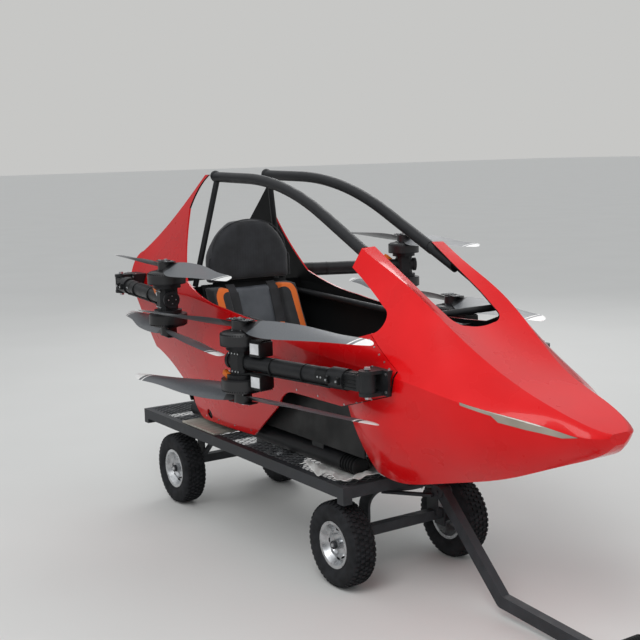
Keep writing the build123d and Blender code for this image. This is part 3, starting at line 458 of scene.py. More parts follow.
# %% Finishes for the CAD pieces
FINISHES = [
    (NOSE_RED, "nose_shell"), (FLANK_RED_PAINTED_SHADE, "left_flank right_flank"), (LENS, "lamp_strips"),
    (TROLLEY, "deck_frame deck_mesh rear_axle front_bogie drawbar"), (PLYWOOD, "rear_board"),
    (BLACK_SHELL_AND_SHADE, "cockpit_tub bulkhead front_former battery_pack seat_shell"),
    (SEAT_GREY, "seat_cushion back_cushion"), (BOLSTER, "side_bolsters"), (SEAT_BLACK, "headrest"),
    (WEBBING, "harness"), (WHITE_CLOTH, "front_padding"), (BUFFER_RUBBER, "skid_buffers"),
    (PLATED, "_rim"), (TYRE_RUBBER, "_tyre"), (MOTOR_BLACK, "_stators"),
]
for name, piece in nodes.items():
    if name not in rotor_axes:
        coat_piece(piece, BLACK_TUBE)
for finish, endings in FINISHES:
    for name, piece in nodes.items():
        if name.endswith(tuple(endings.split())):
            coat_piece(piece, finish)
print("finishes set on", len(nodes), "pieces")

# %% [markdown]
# New pieces are shaped with bmesh. One helper turns a finished bmesh into an object that rides on a
# body and takes the material of its look; a look pairs that material with a slot name. Another adds a
# round bar between two places, which most of the small fittings are made of.

# %% Helpers for new pieces
STEEL = (PLATED, "zinc_rim")
MOTOR = (MOTOR_BLACK, "motor_black")
FABRIC = (SEAT_BLACK, "seat_fabric")
BELTING = (WEBBING, "strap_webbing")


def finish_piece(name, mesh, look, body, smooth=True):
    """Makes the object, closes its normals, gives it its look and lets it ride on a body."""
    finish, slot_name = look
    bmesh.ops.remove_doubles(mesh, verts=mesh.verts, dist=0.00002)
    bmesh.ops.recalc_face_normals(mesh, faces=mesh.faces)
    data = bpy.data.meshes.new(name)
    mesh.to_mesh(data)
    mesh.free()
    if smooth:
        data.shade_smooth()
    made = add_object(name, data)
    data.materials.append(finish)
    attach(made, body)
    return made


def frame_along(start, end):
    """A matrix that puts local Z from start to end, with the origin halfway."""
    line = end - start
    return Matrix.Translation((start + end) / 2) @ line.to_track_quat("Z", "Y").to_matrix().to_4x4()


def bar(mesh, start, end, radius, segments=12, end_radius=None):
    """A round bar or cone between two places."""
    start, end = Vector(start), Vector(end)
    bmesh.ops.create_cone(mesh, cap_ends=True, segments=segments, radius1=radius,
                          radius2=radius if end_radius is None else end_radius,
                          depth=(end - start).length, matrix=frame_along(start, end))


def block(mesh, centre, size, turn=Matrix.Identity(4), bevel=0.0):
    """A box, turned about its centre, with rounded edges if asked."""
    matrix = Matrix.Translation(Vector(centre)) @ turn @ Matrix.Diagonal((*size, 1.0))
    made = bmesh.ops.create_cube(mesh, size=1.0, matrix=matrix)
    if bevel:
        edges = list({e for v in made["verts"] for e in v.link_edges})
        bmesh.ops.bevel(mesh, geom=edges, offset=bevel, segments=2, profile=0.5, affect="EDGES", material=-1)


def sharpen(piece, degrees=35.0):
    """Keeps edges crisp that turn by more than the angle."""
    data = piece.data
    mesh = bmesh.new()
    mesh.from_mesh(data)
    for edge in mesh.edges:
        gentle = edge.calc_face_angle(0.0) < math.radians(degrees)
        edge.smooth = len(edge.link_faces) != 2 or gentle
    mesh.to_mesh(data)
    mesh.free()


print("helpers ready")

# %% [markdown]
# A small pneumatic trolley tyre has a flat crown with rows of square knobs, and shoulder knobs that
# lean over its side. The carcass is one profile spun about the axle. Each knob is a small block set
# into it, in staggered rows, so that the edge of the tyre shows teeth.

# %% Knobbly tyres
# distance from the axle and half width, from the bead to the crown
CARCASS = [(0.0832, 0.034), (0.089, 0.0385), (0.1, 0.0475), (0.118, 0.0532), (0.136, 0.0525),
           (0.149, 0.0475), (0.1555, 0.040), (0.158, 0.024), (0.1588, 0.0)]
# offset across the tyre, knob width, knob length, radius of its top, tilt in degrees
KNOB_ROWS = [(0.0, 0.015, 0.0105, 0.1646, 0.0), (0.0195, 0.014, 0.0105, 0.1640, 4.0),
             (0.0375, 0.013, 0.0125, 0.1600, 26.0)]
KNOBS_AROUND = 46
KNOB_DEPTH = 0.008
WHEELS = [(f"{end}_{hand}", at(x, side * WHEEL_Y, WHEEL_Z), side)
          for end, x in (("rear", 0), ("front", WHEELBASE)) for hand, side in (("left", 1), ("right", -1))]


def carcass(mesh):
    """The smooth body of the tyre."""
    outline = [(r, -w) for r, w in CARCASS] + [(r, w) for r, w in reversed(CARCASS[:-1])]
    verts = [mesh.verts.new((0.0, w, r)) for r, w in outline]
    edges = [mesh.edges.new((a, b)) for a, b in zip(verts, verts[1:] + verts[:1])]
    bmesh.ops.spin(mesh, geom=verts + edges, cent=(0, 0, 0), axis=(0, 1, 0), dvec=(0, 0, 0),
                   angle=math.tau, steps=64, use_merge=True)


def knobs(mesh, stagger, offset, width, length, top, tilt):
    """One ring of knobs, turned by a share of their spacing."""
    middle = Matrix.Translation((0, offset, top - KNOB_DEPTH / 2))
    lean = Matrix.Rotation(math.radians(-tilt), 4, "X")
    size = Matrix.Diagonal((length, width, KNOB_DEPTH, 1.0))
    for step in range(KNOBS_AROUND):
        turn = Matrix.Rotation(math.tau * (step + stagger) / KNOBS_AROUND, 4, "Y")
        bmesh.ops.create_cube(mesh, size=1.0, matrix=turn @ middle @ lean @ size)


def tyre(name, centre, body, replaced):
    mesh = bmesh.new()
    carcass(mesh)
    for row, (offset, width, length, top, tilt) in enumerate(KNOB_ROWS):
        for side in ((1,) if offset == 0 else (-1, 1)):
            knobs(mesh, 0.5 * (row % 2), side * offset, width, length, top, side * tilt)
    bmesh.ops.translate(mesh, verts=mesh.verts, vec=centre)
    made = finish_piece(name, mesh, (TYRE_RUBBER, "tyre_rubber"), body)
    sharpen(made, 30.0)
    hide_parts(replaced)


for wheel_name, centre, side in WHEELS:
    tyre("knobbly_tyre_" + wheel_name, centre, wheel_name + "_wheel", wheel_name + "_tyre")
print("tyres made, knobs on each:", KNOBS_AROUND * (2 * len(KNOB_ROWS) - 1))

# %% [markdown]
# The deck is filled with expanded mesh, whose diamonds are 31 mm long and 50 mm wide. Two sets of
# slanted flat strands cross it, cut off at the frame. They lie in the thickness of the CAD sheet.

# %% Diamond mesh deck
STRAND_PITCH = 0.031
STRAND_LEAN = 0.62  # how far a strand runs forward for each metre across
STRAND_WIDTH, STRAND_DEPTH = 0.0022, 0.0018


def diamond_deck():
    low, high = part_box("deck_mesh")
    mesh = bmesh.new()
    middle = (low.z + high.z) / 2
    run = (high.y - low.y) * STRAND_LEAN
    steps = int((high.x - low.x + run) / STRAND_PITCH)
    for near, far in ((high.y, low.y), (low.y, high.y)):
        for step in range(steps + 1):
            x = low.x - run + step * STRAND_PITCH
            a, b = Vector((x, near, middle)), Vector((x + run, far, middle))
            span = b.x - a.x
            t0, t1 = max(0.0, (low.x - a.x) / span), min(1.0, (high.x - a.x) / span)
            if t1 - t0 < 0.01:
                continue
            start, end = a.lerp(b, t0), a.lerp(b, t1)
            along = end - start
            turn = Matrix.Rotation(math.atan2(along.y, along.x), 4, "Z")
            size = Matrix.Diagonal((along.length, STRAND_WIDTH, STRAND_DEPTH, 1.0))
            matrix = Matrix.Translation((start + end) / 2) @ turn @ size
            bmesh.ops.create_cube(mesh, size=1.0, matrix=matrix)
    look = (DECK_GREY, "trolley_paint")
    made = finish_piece("expanded_mesh_deck", mesh, look, "airframe", smooth=False)
    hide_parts("deck_mesh")
    return made


deck = diamond_deck()
print("deck strands:", len(deck.data.polygons) // 6)

# %% [markdown]
# The pads start as copies of the CAD pads, made a little smaller, remeshed into an even skin and
# blown up by a short cloth simulation. That gives the crowned faces and soft corners of a foam pad
# under a tight cover. How far a point may move is capped, so the pads keep off their neighbours.

# %% Seat pads
SKIN_VOXEL = 0.006
PRESSURE = 4.0
CLOTH_FRAMES = 20


def bake_modifiers(piece):
    """Applies what the modifiers give at this frame and removes them."""
    view = bpy.context.evaluated_depsgraph_get()
    view.update()
    baked = bpy.data.meshes.new_from_object(piece.evaluated_get(view))
    old = piece.data
    piece.modifiers.clear()
    piece.data = baked
    bpy.data.meshes.remove(old)
    baked.shade_smooth()


def swell(piece, cap, rounds):
    """Blows the closed skin up like foam under a tight cover, moving no point further than cap."""
    rest = [v.co.copy() for v in piece.data.vertices]
    cloth = piece.modifiers.new("pressure", "CLOTH")
    cloth.settings.use_pressure = True
    cloth.settings.uniform_pressure_force = PRESSURE
    cloth.settings.effector_weights.gravity = 0.0
    cloth.settings.tension_stiffness = 12.0
    cloth.settings.bending_stiffness = 2.0
    scene = bpy.context.scene
    for frame_number in range(1, CLOTH_FRAMES + 1):
        scene.frame_set(frame_number)
    bake_modifiers(piece)
    scene.frame_set(1)
    for v, was in zip(piece.data.vertices, rest):
        step = v.co - was
        if step.length > cap:
            v.co = was + step * (cap / step.length)
    mesh = bmesh.new()
    mesh.from_mesh(piece.data)
    for _ in range(rounds):
        bmesh.ops.smooth_vert(mesh, verts=mesh.verts, factor=0.5,
                              use_axis_x=True, use_axis_y=True, use_axis_z=True)
    mesh.to_mesh(piece.data)
    mesh.free()
    piece.data.shade_smooth()


def pad_from(name, source, shrink, cap, finish, only=None, rounds=3):
    """A foam pad in place of a CAD pad, or of the part of it whose points only() keeps."""
    mesh = bmesh.new()
    mesh.from_mesh(nodes[source].data)
    bmesh.ops.remove_doubles(mesh, verts=mesh.verts, dist=0.0001)
    if only:
        gone = [v for v in mesh.verts if not only(v.co)]
        bmesh.ops.delete(mesh, geom=gone, context="VERTS")
    low = Vector([min(v.co[i] for v in mesh.verts) for i in range(3)])
    high = Vector([max(v.co[i] for v in mesh.verts) for i in range(3)])
    middle = (low + high) / 2
    for v in mesh.verts:
        for i in range(3):
            v.co[i] = middle[i] + (v.co[i] - middle[i]) * (1 - 2 * shrink / (high[i] - low[i]))
    made = finish_piece(name, mesh, (finish, "seat_fabric"), "airframe")
    remesh = made.modifiers.new("even_skin", "REMESH")
    remesh.mode = "VOXEL"
    remesh.voxel_size = SKIN_VOXEL
    bake_modifiers(made)
    swell(made, cap, rounds)
    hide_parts(source)
    return made


middle_y = at(0, 0, 0).y
pads = [
    pad_from("pan_cushion", "seat_cushion", 0.004, 0.009, SEAT_GREY),
    pad_from("back_cushion_pad", "back_cushion", 0.004, 0.009, SEAT_GREY),
    pad_from("head_pad", "headrest", 0.004, 0.010, SEAT_BLACK, rounds=24),
    pad_from("bolster_left", "side_bolsters", 0.003, 0.007, BOLSTER, only=lambda co: co.y > middle_y),
    pad_from("bolster_right", "side_bolsters", 0.003, 0.007, BOLSTER, only=lambda co: co.y < middle_y),
]
print("pads:", [(p.name, len(p.data.polygons)) for p in pads])

# %% [markdown]
# The small fittings below repeat on four arms and eight rotors, so each kind is built in its own
# simple frame, in millimetres, and then moved. An arm's frame starts at its pivot with X along the
# arm. Sides are counted outward from the fuselage, so one table serves both sides.

# %% Frames of the arms
# place of the pivot, side of the aircraft, length to the motor axis, whether the arm points forward
# (1) or back (-1), its angle out from the fuselage, headings of the upper and the lower propeller
Arm = namedtuple("Arm", "name pivot side length along angle azimuths")
ARMS = [
    Arm("right_front", (1705, -400, 850), -1, 660, -1, 10.0, (10.5, 12.0)),
    Arm("left_front", (1705, 400, 850), 1, 660, -1, 10.0, (-10.0, -10.0)),
    Arm("right_rear", (-280, -410, 1030), -1, 710, 1, 8.0, (-5.5, -9.0)),
    Arm("left_rear", (-280, 410, 1030), 1, 710, 1, 65.0, (-6.0, -10.0)),
]
LEVELS = (("upper", 1), ("lower", -1))
OUTWARD, AHEAD = (0, 1, 0), (1, 0, 0)
SCENE = Matrix.Identity(4)


def millimetres(centre, heading=0.0, mirror=1):
    """The matrix to the scene from millimetres around a place, turned about Z and mirrored in Y."""
    turned = Matrix.Translation(centre) @ Matrix.Rotation(math.radians(heading), 4, "Z")
    return turned @ Matrix.Diagonal((0.001, 0.001 * mirror, 0.001, 1.0))


def arm_frame(arm):
    """The matrix from an arm's own millimetres to the scene."""
    heading = arm.side * arm.angle if arm.along > 0 else 180 - arm.side * arm.angle
    return millimetres(at(*arm.pivot), heading, arm.side * arm.along)


def ring(count, radius, stagger=0.0):
    """Places around a circle, turned by a share of their spacing."""
    angles = [math.tau * (k + stagger) / count for k in range(count)]
    return [(radius * math.cos(angle), radius * math.sin(angle)) for angle in angles]


def screw(mesh, foot, direction, radius, height, sides=12):
    """A screw head that stands on a face. A sixth of its height goes in."""
    direction = Vector(direction).normalized()
    foot = Vector(foot) - direction * height / 6
    bar(mesh, foot, foot + direction * height, radius, sides, end_radius=radius * 0.86)


def skin_rings(mesh, rings):
    """Closes a row of equal rings of points into a skin with two ends."""
    for a, b in zip(rings, rings[1:]):
        for k in range(len(a)):
            after = (k + 1) % len(a)
            mesh.faces.new((a[k], a[after], b[after], b[k]))
    mesh.faces.new(rings[0])
    mesh.faces.new(rings[-1])


def directions(line):
    """How the line runs at each of its points."""
    return [(line[min(i + 1, len(line) - 1)] - line[max(i - 1, 0)]).normalized() for i in range(len(line))]


def cable(mesh, points, radius, sides=8):
    """A round cable through the points, smoothed by cutting its corners twice."""
    line = [Vector(p) for p in points]
    for _ in range(2):
        cut = [line[0]]
        for a, b in zip(line, line[1:]):
            cut += [a.lerp(b, 0.25), a.lerp(b, 0.75)]
        line = cut + [line[-1]]
    rings = []
    for centre, run in zip(line, directions(line)):
        turn = run.to_track_quat("Z", "Y").to_matrix()
        rings.append([mesh.verts.new(centre + turn @ Vector((x, y, 0))) for x, y in ring(sides, radius)])
    skin_rings(mesh, rings)


def in_frame(name, frame_matrix, look, body, build, *measures):
    """Builds on an empty bmesh, moves the result by the frame and finishes it."""
    mesh = bmesh.new()
    build(mesh, *measures)
    bmesh.ops.transform(mesh, matrix=frame_matrix, verts=mesh.verts)
    made = finish_piece(name, mesh, look, body)
    sharpen(made)
    return made


print("arm frames for", len(ARMS), "arms")

# %% [markdown]
# An arm is a tube in a machined socket. The socket has two clamp collars with ears, and ribs that
# make the knuckle look milled. Under the tube run three motor leads, tied on with two narrow bands.
# The square motor clamp has two rows of four screws on its outer face.

# %% Fittings on the arms
COMPOSITE = "black_composite"
PLASTIC = (powder_coat("black_moulded_plastic", "#101112", "#1A1B1C", 0.4, 0.5, 3.0, 25.0), COMPOSITE)
LEAD = (rubber("black_lead_sheath", "#121314", "#1B1C1D", 0.5), COMPOSITE)
PLUG = (rubber("orange_nylon_connector", "#D8661A", "#E87A28", 0.5), COMPOSITE)
SILVER = rubber("blank_silver_label", "#C2C4C6", "#D6D8DA", 0.45)
KNUCKLE_X = 66
COLLARS_X = (100, 150)
SLEEVE_X = (176, 228)


def collars_and_ribs(mesh, length):
    for x in COLLARS_X:
        bar(mesh, (x - 4, 0, 0), (x + 4, 0, 0), 38.0, 32)
        block(mesh, (x, 42, 0), (9, 16, 26), bevel=1.5)
    bar(mesh, (SLEEVE_X[0], 0, 0), (SLEEVE_X[1], 0, 0), 31.2, 32)
    for z in (-19, -6.5, 6.5, 19):
        block(mesh, (KNUCKLE_X, 25.5, z), (66, 5, 5), bevel=1.2)
    block(mesh, (KNUCKLE_X, 0, 29), (60, 34, 5), bevel=1.5)
    bar(mesh, (length + 60, 0, 0), (length + 65, 0, 0), 24.0, 28)
    bar(mesh, (length - 44, 0, 0), (length - 38, 0, 0), 34.0, 28)


def arm_screws(mesh, length):
    for dx in (-26, -9, 9, 26):
        for z in (-34, 34):
            screw(mesh, (length + dx, 39, z), OUTWARD, 3.6, 3.0)
    for x in (196, 212):
        screw(mesh, (x, 29.8, 0), OUTWARD, 4.2, 3.0)
    for x in COLLARS_X:
        screw(mesh, (x, 50, 0), OUTWARD, 5.0, 4.0, 6)
    for y, z in ring(4, 16):
        screw(mesh, (length + 65, y, z), AHEAD, 3.0, 2.0)
    bar(mesh, (24, 0, 36), (24, 0, 33), 3.0, 8)


def arm_leads(mesh, length):
    for y, z in ((-9, -33.0), (3, -34.4), (14, -31.5)):
        cable(mesh, [(168, y, -34), (220, y, z), (length - 180, y, z), (length - 120, y, z),
                     (length - 60, y * 1.5, -40), (length - 34, y * 2, -44)], 4.2)
    for x in (300, length - 190):
        bar(mesh, (x - 1.6, 0, -3.6), (x + 1.6, 0, -3.6), 35.4, 24)


for arm in ARMS:
    matrix, body = arm_frame(arm), arm.name + "_arm"
    in_frame(body + "_collars", matrix, PLASTIC, body, collars_and_ribs, arm.length)
    in_frame(body + "_screws", matrix, STEEL, body, arm_screws, arm.length)
    in_frame(body + "_leads", matrix, LEAD, body, arm_leads, arm.length)
print("arms fitted")

# %% [markdown]
# On the front arms a speed controller sits above and below the tube beside the motors: a finned
# black box with a blank silver label on its outer face. Each motor pair has an orange battery plug
# with a short lead, black on the front arms and pale on the rear ones.

# %% Speed controllers and plugs
CONTROLLER_BACK = 119  # from the motor axis back to the middle of a controller


def controller(mesh, length, sign):
    x = length - CONTROLLER_BACK
    block(mesh, (x, 4, sign * 60), (60, 66, 56), bevel=3.0)
    for k in range(7):
        block(mesh, (x, -22 + k * 8.7, sign * 90.5), (54, 3.2, 7), bevel=0.6)


def label_plate(mesh, length, sign):
    block(mesh, (length - CONTROLLER_BACK, 37.3, sign * 62), (48, 1.0, 40), bevel=0.3)


def plug(mesh, x, y, z, tilt):
    turn = Matrix.Rotation(math.radians(tilt), 4, "Y")
    block(mesh, (x, y, z), (40, 17, 22), turn, bevel=2.5)
    block(mesh, Vector((x, y, z)) + turn @ Vector((-22, 0, 0)), (10, 13, 17), turn, bevel=2.0)


def plug_lead(mesh, x, y, z, reach):
    cable(mesh, [(x, y, z), (x + reach * 0.5, y + 3, z - 12), (x + reach, y - 2, z - 20)], 5.0)


for arm in ARMS:
    matrix, body, end = arm_frame(arm), arm.name + "_arm", arm.length
    if "front" in arm.name:
        for level_name, sign in LEVELS:
            start = f"{arm.name}_{level_name}"
            in_frame(start + "_controller", matrix, PLASTIC, body, controller, end, sign)
            in_frame(start + "_label", matrix, (SILVER, "zinc_rim"), body, label_plate, end, sign)
        plug_at, lead_at, sheath = (end + 40, 40, -50, -28), (end + 24, 40, -48, -22), LEAD
    else:
        plug_at, lead_at, sheath = (end - 78, 24, 34, 40), (end - 66, 26, 22, 34), (SILVER, COMPOSITE)
    in_frame(arm.name + "_plug", matrix, PLUG, body, plug, *plug_at)
    in_frame(arm.name + "_plug_lead", matrix, sheath, body, plug_lead, *lead_at)
print("controllers and plugs fitted")

# %% [markdown]
# A motor bell has cooling ribs around it, a turned band at its open end and a ring of six screws on
# its closed end. One plate clamps the blade roots with eight screws and a central nut. The lower
# motor is the same thing upside down, so a sign turns every height.

# %% Motor bells and propeller hubs
BELL_RIBS = 48
BELL_TOP, PLATE_TOP, BOSS_TOP = 121.0, 159.2, 162.0  # heights from the middle of the arm


def bell_ribs(mesh, sign):
    rib = Matrix.Translation((77.6, 0, sign * 99)) @ Matrix.Diagonal((3.4, 4.2, 20.0, 1.0))
    for k in range(BELL_RIBS):
        turn = Matrix.Rotation(math.tau * k / BELL_RIBS, 4, "Z")
        bmesh.ops.create_cube(mesh, size=1.0, matrix=turn @ rib)
    bar(mesh, (0, 0, sign * 63.2), (0, 0, sign * 67.5), 79.6, 56)
    bar(mesh, (0, 0, sign * 118.0), (0, 0, sign * BELL_TOP), 44.0, 40)


def hub_plate(mesh, sign, azimuth):
    turn = Matrix.Rotation(math.radians(azimuth), 4, "Z")
    block(mesh, (0, 0, sign * 157.0), (118, 46, 4.4), turn, bevel=1.2)
    bar(mesh, (0, 0, sign * 154.0), (0, 0, sign * BOSS_TOP), 22.0, 28, end_radius=19.0)


def hub_screws(mesh, sign, azimuth):
    turn, up_or_down = Matrix.Rotation(math.radians(azimuth), 4, "Z"), (0, 0, sign)
    for x in (-46, -30, 30, 46):
        for y in (-13, 13):
            screw(mesh, turn @ Vector((x, y, sign * PLATE_TOP)), up_or_down, 3.6, 3.4)
    screw(mesh, (0, 0, sign * BOSS_TOP), up_or_down, 8.5, 6.0, 6)
    for x, y in ring(6, 37, 0.5):
        screw(mesh, (x, y, sign * BELL_TOP), up_or_down, 3.0, 2.4)


for arm in ARMS:
    matrix = millimetres(arm_frame(arm) @ Vector((arm.length, 0, 0)))
    for (level_name, sign), azimuth in zip(LEVELS, arm.azimuths):
        body = f"{arm.name}_{level_name}_rotor"
        in_frame(body + "_ribs", matrix, MOTOR, body, bell_ribs, sign)
        in_frame(body + "_hub_plate", matrix, MOTOR, body, hub_plate, sign, azimuth)
        in_frame(body + "_screws", matrix, STEEL, body, hub_screws, sign, azimuth)
print("rotor hubs fitted")

# %% [markdown]
# The hinge brackets bolt to the skin. Each has four bolts on its outer face, two screws on top and
# a hex nut at both ends of the pivot pin.

# %% Bolts on the hinge brackets
def bracket_bolts(mesh):
    for x in (-47, 47):
        for z in (-30, 30):
            screw(mesh, (x, -42, z), OUTWARD, 5.5, 4.5, 6)
        screw(mesh, (x, -56, 43.5), (0, 0, 1), 4.5, 3.5)
    for sign in (-1, 1):
        screw(mesh, (0, 0, sign * 48.2), (0, 0, sign), 12.5, 8.0, 6)


for arm in ARMS:
    matrix = millimetres(at(*arm.pivot), mirror=arm.side)
    in_frame(arm.name + "_bracket_bolts", matrix, STEEL, "airframe", bracket_bolts)
print("brackets bolted")

# %% [markdown]
# The flanks are screwed to the nose along the slanted seam and to the tub along the lower edge.
# The skin is curved, so each screw is set where a ray from the side meets the CAD surface.

# %% Screws along the panel seams
# places as (x, z) in millimetres
SEAM_ROW = [(1570 + 176 * t, 982 - 103 * t) for t in (0.1, 0.3, 0.5, 0.7, 0.88)]
LOWER_ROW = [(1470, 728), (1550, 748), (1640, 774), (1716, 792)]
SKIRT_ROW = [(300, 470), (420, 472), (560, 474), (690, 476), (1150, 730), (1300, 731)]
RAY_START = 900
SCREW_FACES = 14


def seam_screws(node_name, side):
    """Screw heads on a skin panel, in metres, since the rays hit the scene's own surface."""
    data, mesh = nodes[node_name].data, bmesh.new()
    skin = BVHTree.FromPolygons([v.co for v in data.vertices], [p.vertices for p in data.polygons])
    for x, z in SEAM_ROW + LOWER_ROW + SKIRT_ROW:
        hit, normal, _, _ = skin.ray_cast(at(x, side * RAY_START, z), Vector((0, -side, 0)))
        if hit is not None:
            screw(mesh, hit, normal, 0.004, 0.0022)
    made = finish_piece(node_name + "_screws", mesh, STEEL, "airframe")
    sharpen(made)
    return made


for side, node_name in ((1, "left_flank"), (-1, "right_flank")):
    made = seam_screws(node_name, side)
    print(made.name, len(made.data.polygons) // SCREW_FACES, "screws")

# %% [markdown]
# Belts cross the back cushion and end in one buckle on the pan. A belt is flat webbing, 44 mm wide
# over the shoulders and 46 mm on the lap, with a padded sleeve over its upper part and orange tabs
# at its lower end. It follows a line of points, and its width stays level, so that it lies flat on
# the cushion.

# %% Harness
# points on the left side in millimetres, then the width and thickness in metres
BELTS = [
    ([(232, 106, 1039), (264, 108, 1008), (302, 107, 903), (347, 100, 800), (374, 86, 756),
      (412, 62, 722), (452, 34, 705)], 0.044, 0.0030),
    ([(402, 128, 742), (428, 104, 716), (452, 66, 704), (466, 30, 702)], 0.046, 0.0030),
]
SLEEVES = [([(268, 108, 1004), (306, 107, 903), (351, 100, 802), (368, 92, 770)], 0.050, 0.008)]
TABS = [([(334, 103, 856), (352, 99, 812), (370, 90, 775)], 0.024, 0.016),
        ([(402, 126, 752), (424, 108, 728), (440, 88, 715)], 0.026, 0.014)]
CUSHION_FACE = Vector((0.5, 0.0, 0.86))  # which way a belt looks where it runs across the pan
BUCKLE_TILT = Matrix.Rotation(0.12, 4, "Y")


def strap(mesh, line, width, thick):
    """Flat webbing along the points, level from side to side unless it runs across."""
    rings = []
    for centre, run in zip(line, directions(line)):
        face = CUSHION_FACE if abs(run.y) > 0.7 else run.cross(Vector((0, 1, 0)))
        wide = run.cross(face).normalized() * width / 2
        deep = wide.cross(run).normalized() * thick / 2
        corners = ((-1, -1), (1, -1), (1, 1), (-1, 1))
        rings.append([mesh.verts.new(centre + a * wide + b * deep) for a, b in corners])
    skin_rings(mesh, rings)


def straps(mesh, table):
    """Each strap of a table on both sides."""
    for side in (-1, 1):
        for places, width, thick in table:
            strap(mesh, [at(x, side * y, z) for x, y, z in places], width, thick)


def buckle(mesh):
    block(mesh, at(470, 6, 708), (0.058, 0.062, 0.018), BUCKLE_TILT, bevel=0.005)
    block(mesh, at(472, 6, 720), (0.026, 0.030, 0.010), BUCKLE_TILT, bevel=0.003)


belt = in_frame("harness_belts", SCENE, BELTING, "airframe", straps, BELTS)
in_frame("harness_sleeves", SCENE, BELTING, "airframe", straps, SLEEVES)
in_frame("harness_orange_tabs", SCENE, (SEAT_ORANGE, "strap_webbing"), "airframe", straps, TABS)
in_frame("harness_buckle", SCENE, PLASTIC, "airframe", buckle)
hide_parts("harness")
print("harness laid")

# %% [markdown]
# Piping hides the seam where the front panel of the headrest meets its side. It is a thin round
# bead of the same cloth that follows the outline just inside the edge. The back panel has three
# sewn lines across it, which are still thinner beads.

# %% Piping and sewn lines of the seat
HEAD_FOOT, HEAD_SHOULDER, HEAD_TOP = 1062, 1164, 1331
HEAD_HALF, HEAD_ROUND = 213, 196  # half widths of the straight sides and of the rounded top
SEWN_TOP = (244, 1032)


def outline_piping(mesh):
    path = [(-HEAD_HALF, HEAD_FOOT), (-HEAD_HALF, HEAD_SHOULDER)]
    for k in range(11):
        t = math.pi * k / 10
        rise = (HEAD_TOP - HEAD_SHOULDER) * math.sin(t) ** 0.8
        path.append((-math.cos(t) * HEAD_ROUND, HEAD_SHOULDER + rise))
    path += [(HEAD_HALF, HEAD_SHOULDER), (HEAD_HALF, HEAD_FOOT)]
    cable(mesh, [at(238, y, z) for y, z in path], 0.0026, 6)


def sewn_lines(mesh):
    for t in (0.22, 0.5, 0.78):
        x, z = (foot + (top - foot) * t for foot, top in zip(BACK_FOOT, SEWN_TOP))
        cable(mesh, [at(x - 2, y, z + 1) for y in (-122, -60, 0, 60, 122)], 0.0016, 6)


in_frame("headrest_piping", SCENE, FABRIC, "airframe", outline_piping)
in_frame("back_sewn_lines", SCENE, FABRIC, "airframe", sewn_lines)
print("piping laid")

# %% [markdown]
# A pressed wheel disc is held by four bolts and one central nut and has round holes between the
# bolts. The holes are shown by dark discs set just proud of the metal, and a rubber valve stands
# out near the rim.

# %% Wheel discs
HOLE = (rubber("wheel_hole_shadow", "#08090A", "#0D0E0F", 0.8), "zinc_rim")


def disc_bolts(mesh, side):
    for x, z in ring(4, 52, 0.5):
        screw(mesh, (x, side * 19, z), (0, side, 0), 6.5, 6.0, 6)
    screw(mesh, (0, side * 42.4, 0), (0, side, 0), 9.5, 4.0, 6)


def disc_holes(mesh, side):
    for x, z in ring(4, 54):
        bar(mesh, (x, side * 17, z), (x, side * 20, z), 9.0, 20)
    bar(mesh, (60, side * 26, -30), (63, side * 46, -31), 3.4, 10)


for wheel_name, centre, side in WHEELS:
    matrix, body = millimetres(centre), wheel_name + "_wheel"
    in_frame(wheel_name + "_disc_bolts", matrix, STEEL, body, disc_bolts, side)
    in_frame(wheel_name + "_disc_holes", matrix, HOLE, body, disc_holes, side)
print("wheel discs fitted")

# %% [markdown]
# A crumpled white cotton sheet lies over the front of the deck, under the ends of the skids. It is a
# grid pushed up into folds by a few crossing waves. The folds stay low where the skids press the
# sheet down and rise towards its free edges.

# %% White sheet on the deck
DECK_TOP = 410.2
SHEET_REAR, SHEET_FRONT, SHEET_HALF = 1118, 1432, 312
SKID_INNER, SKID_OUTER, SKID_END, EASE = 160, 248, 1372, 30
COLUMNS, ROWS = 56, 110


def share(value):
    return max(0.0, min(1.0, value))


def sheet_height(x, y):
    """Height of the cloth above the deck in millimetres."""
    free = share((abs(y) - SKID_OUTER) / EASE) if x < SKID_END else 1.0
    rise = max(free, share((SKID_INNER - abs(y)) / EASE))
    waves = math.sin(x / 23 + y / 60) + 0.8 * math.sin(y / 19 - x / 55) + 0.4 * math.sin((x + y) / 9.5)
    return 2.2 + (0.5 + 0.5 * math.sin(x / 13 + y / 19)) * 3.0 + rise * (14.0 + 7.5 * waves)


def white_sheet():
    mesh = bmesh.new()
    grid = []
    for i in range(COLUMNS + 1):
        row = []
        for j in range(ROWS + 1):
            edge = 8 * math.sin(j / 6.0) + 5 * math.sin(j / 2.3)
            x = SHEET_REAR + edge + (SHEET_FRONT - SHEET_REAR - edge) * i / COLUMNS
            y = -SHEET_HALF + 2 * SHEET_HALF * j / ROWS + 5 * math.sin(i / 5.0)
            row.append(mesh.verts.new(at(x, y, DECK_TOP + max(1.5, sheet_height(x, y)))))
        grid.append(row)
    for i in range(COLUMNS):
        for j in range(ROWS):
            mesh.faces.new((grid[i][j], grid[i][j + 1], grid[i + 1][j + 1], grid[i + 1][j]))
    area = sum(face.calc_area() for face in mesh.faces)
    made = finish_piece("white_cotton_sheet", mesh, (WHITE_CLOTH, "padding_cloth"), "airframe")
    thickness = made.modifiers.new("thickness", "SOLIDIFY")
    thickness.thickness = 0.0014
    thickness.offset = 1.0
    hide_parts("front_padding")
    return made, area


cotton, cotton_area = white_sheet()
print("cotton sheet area", round(cotton_area, 3), "square metres")

# %% [markdown]
# Last come the fittings of the trolley: hex bolts under the axle legs and the turntable, and ribbed
# rubber grips on the drawbar handle.

# %% Trolley fittings
HANDLE_X, HANDLE_Z = 2419, 60


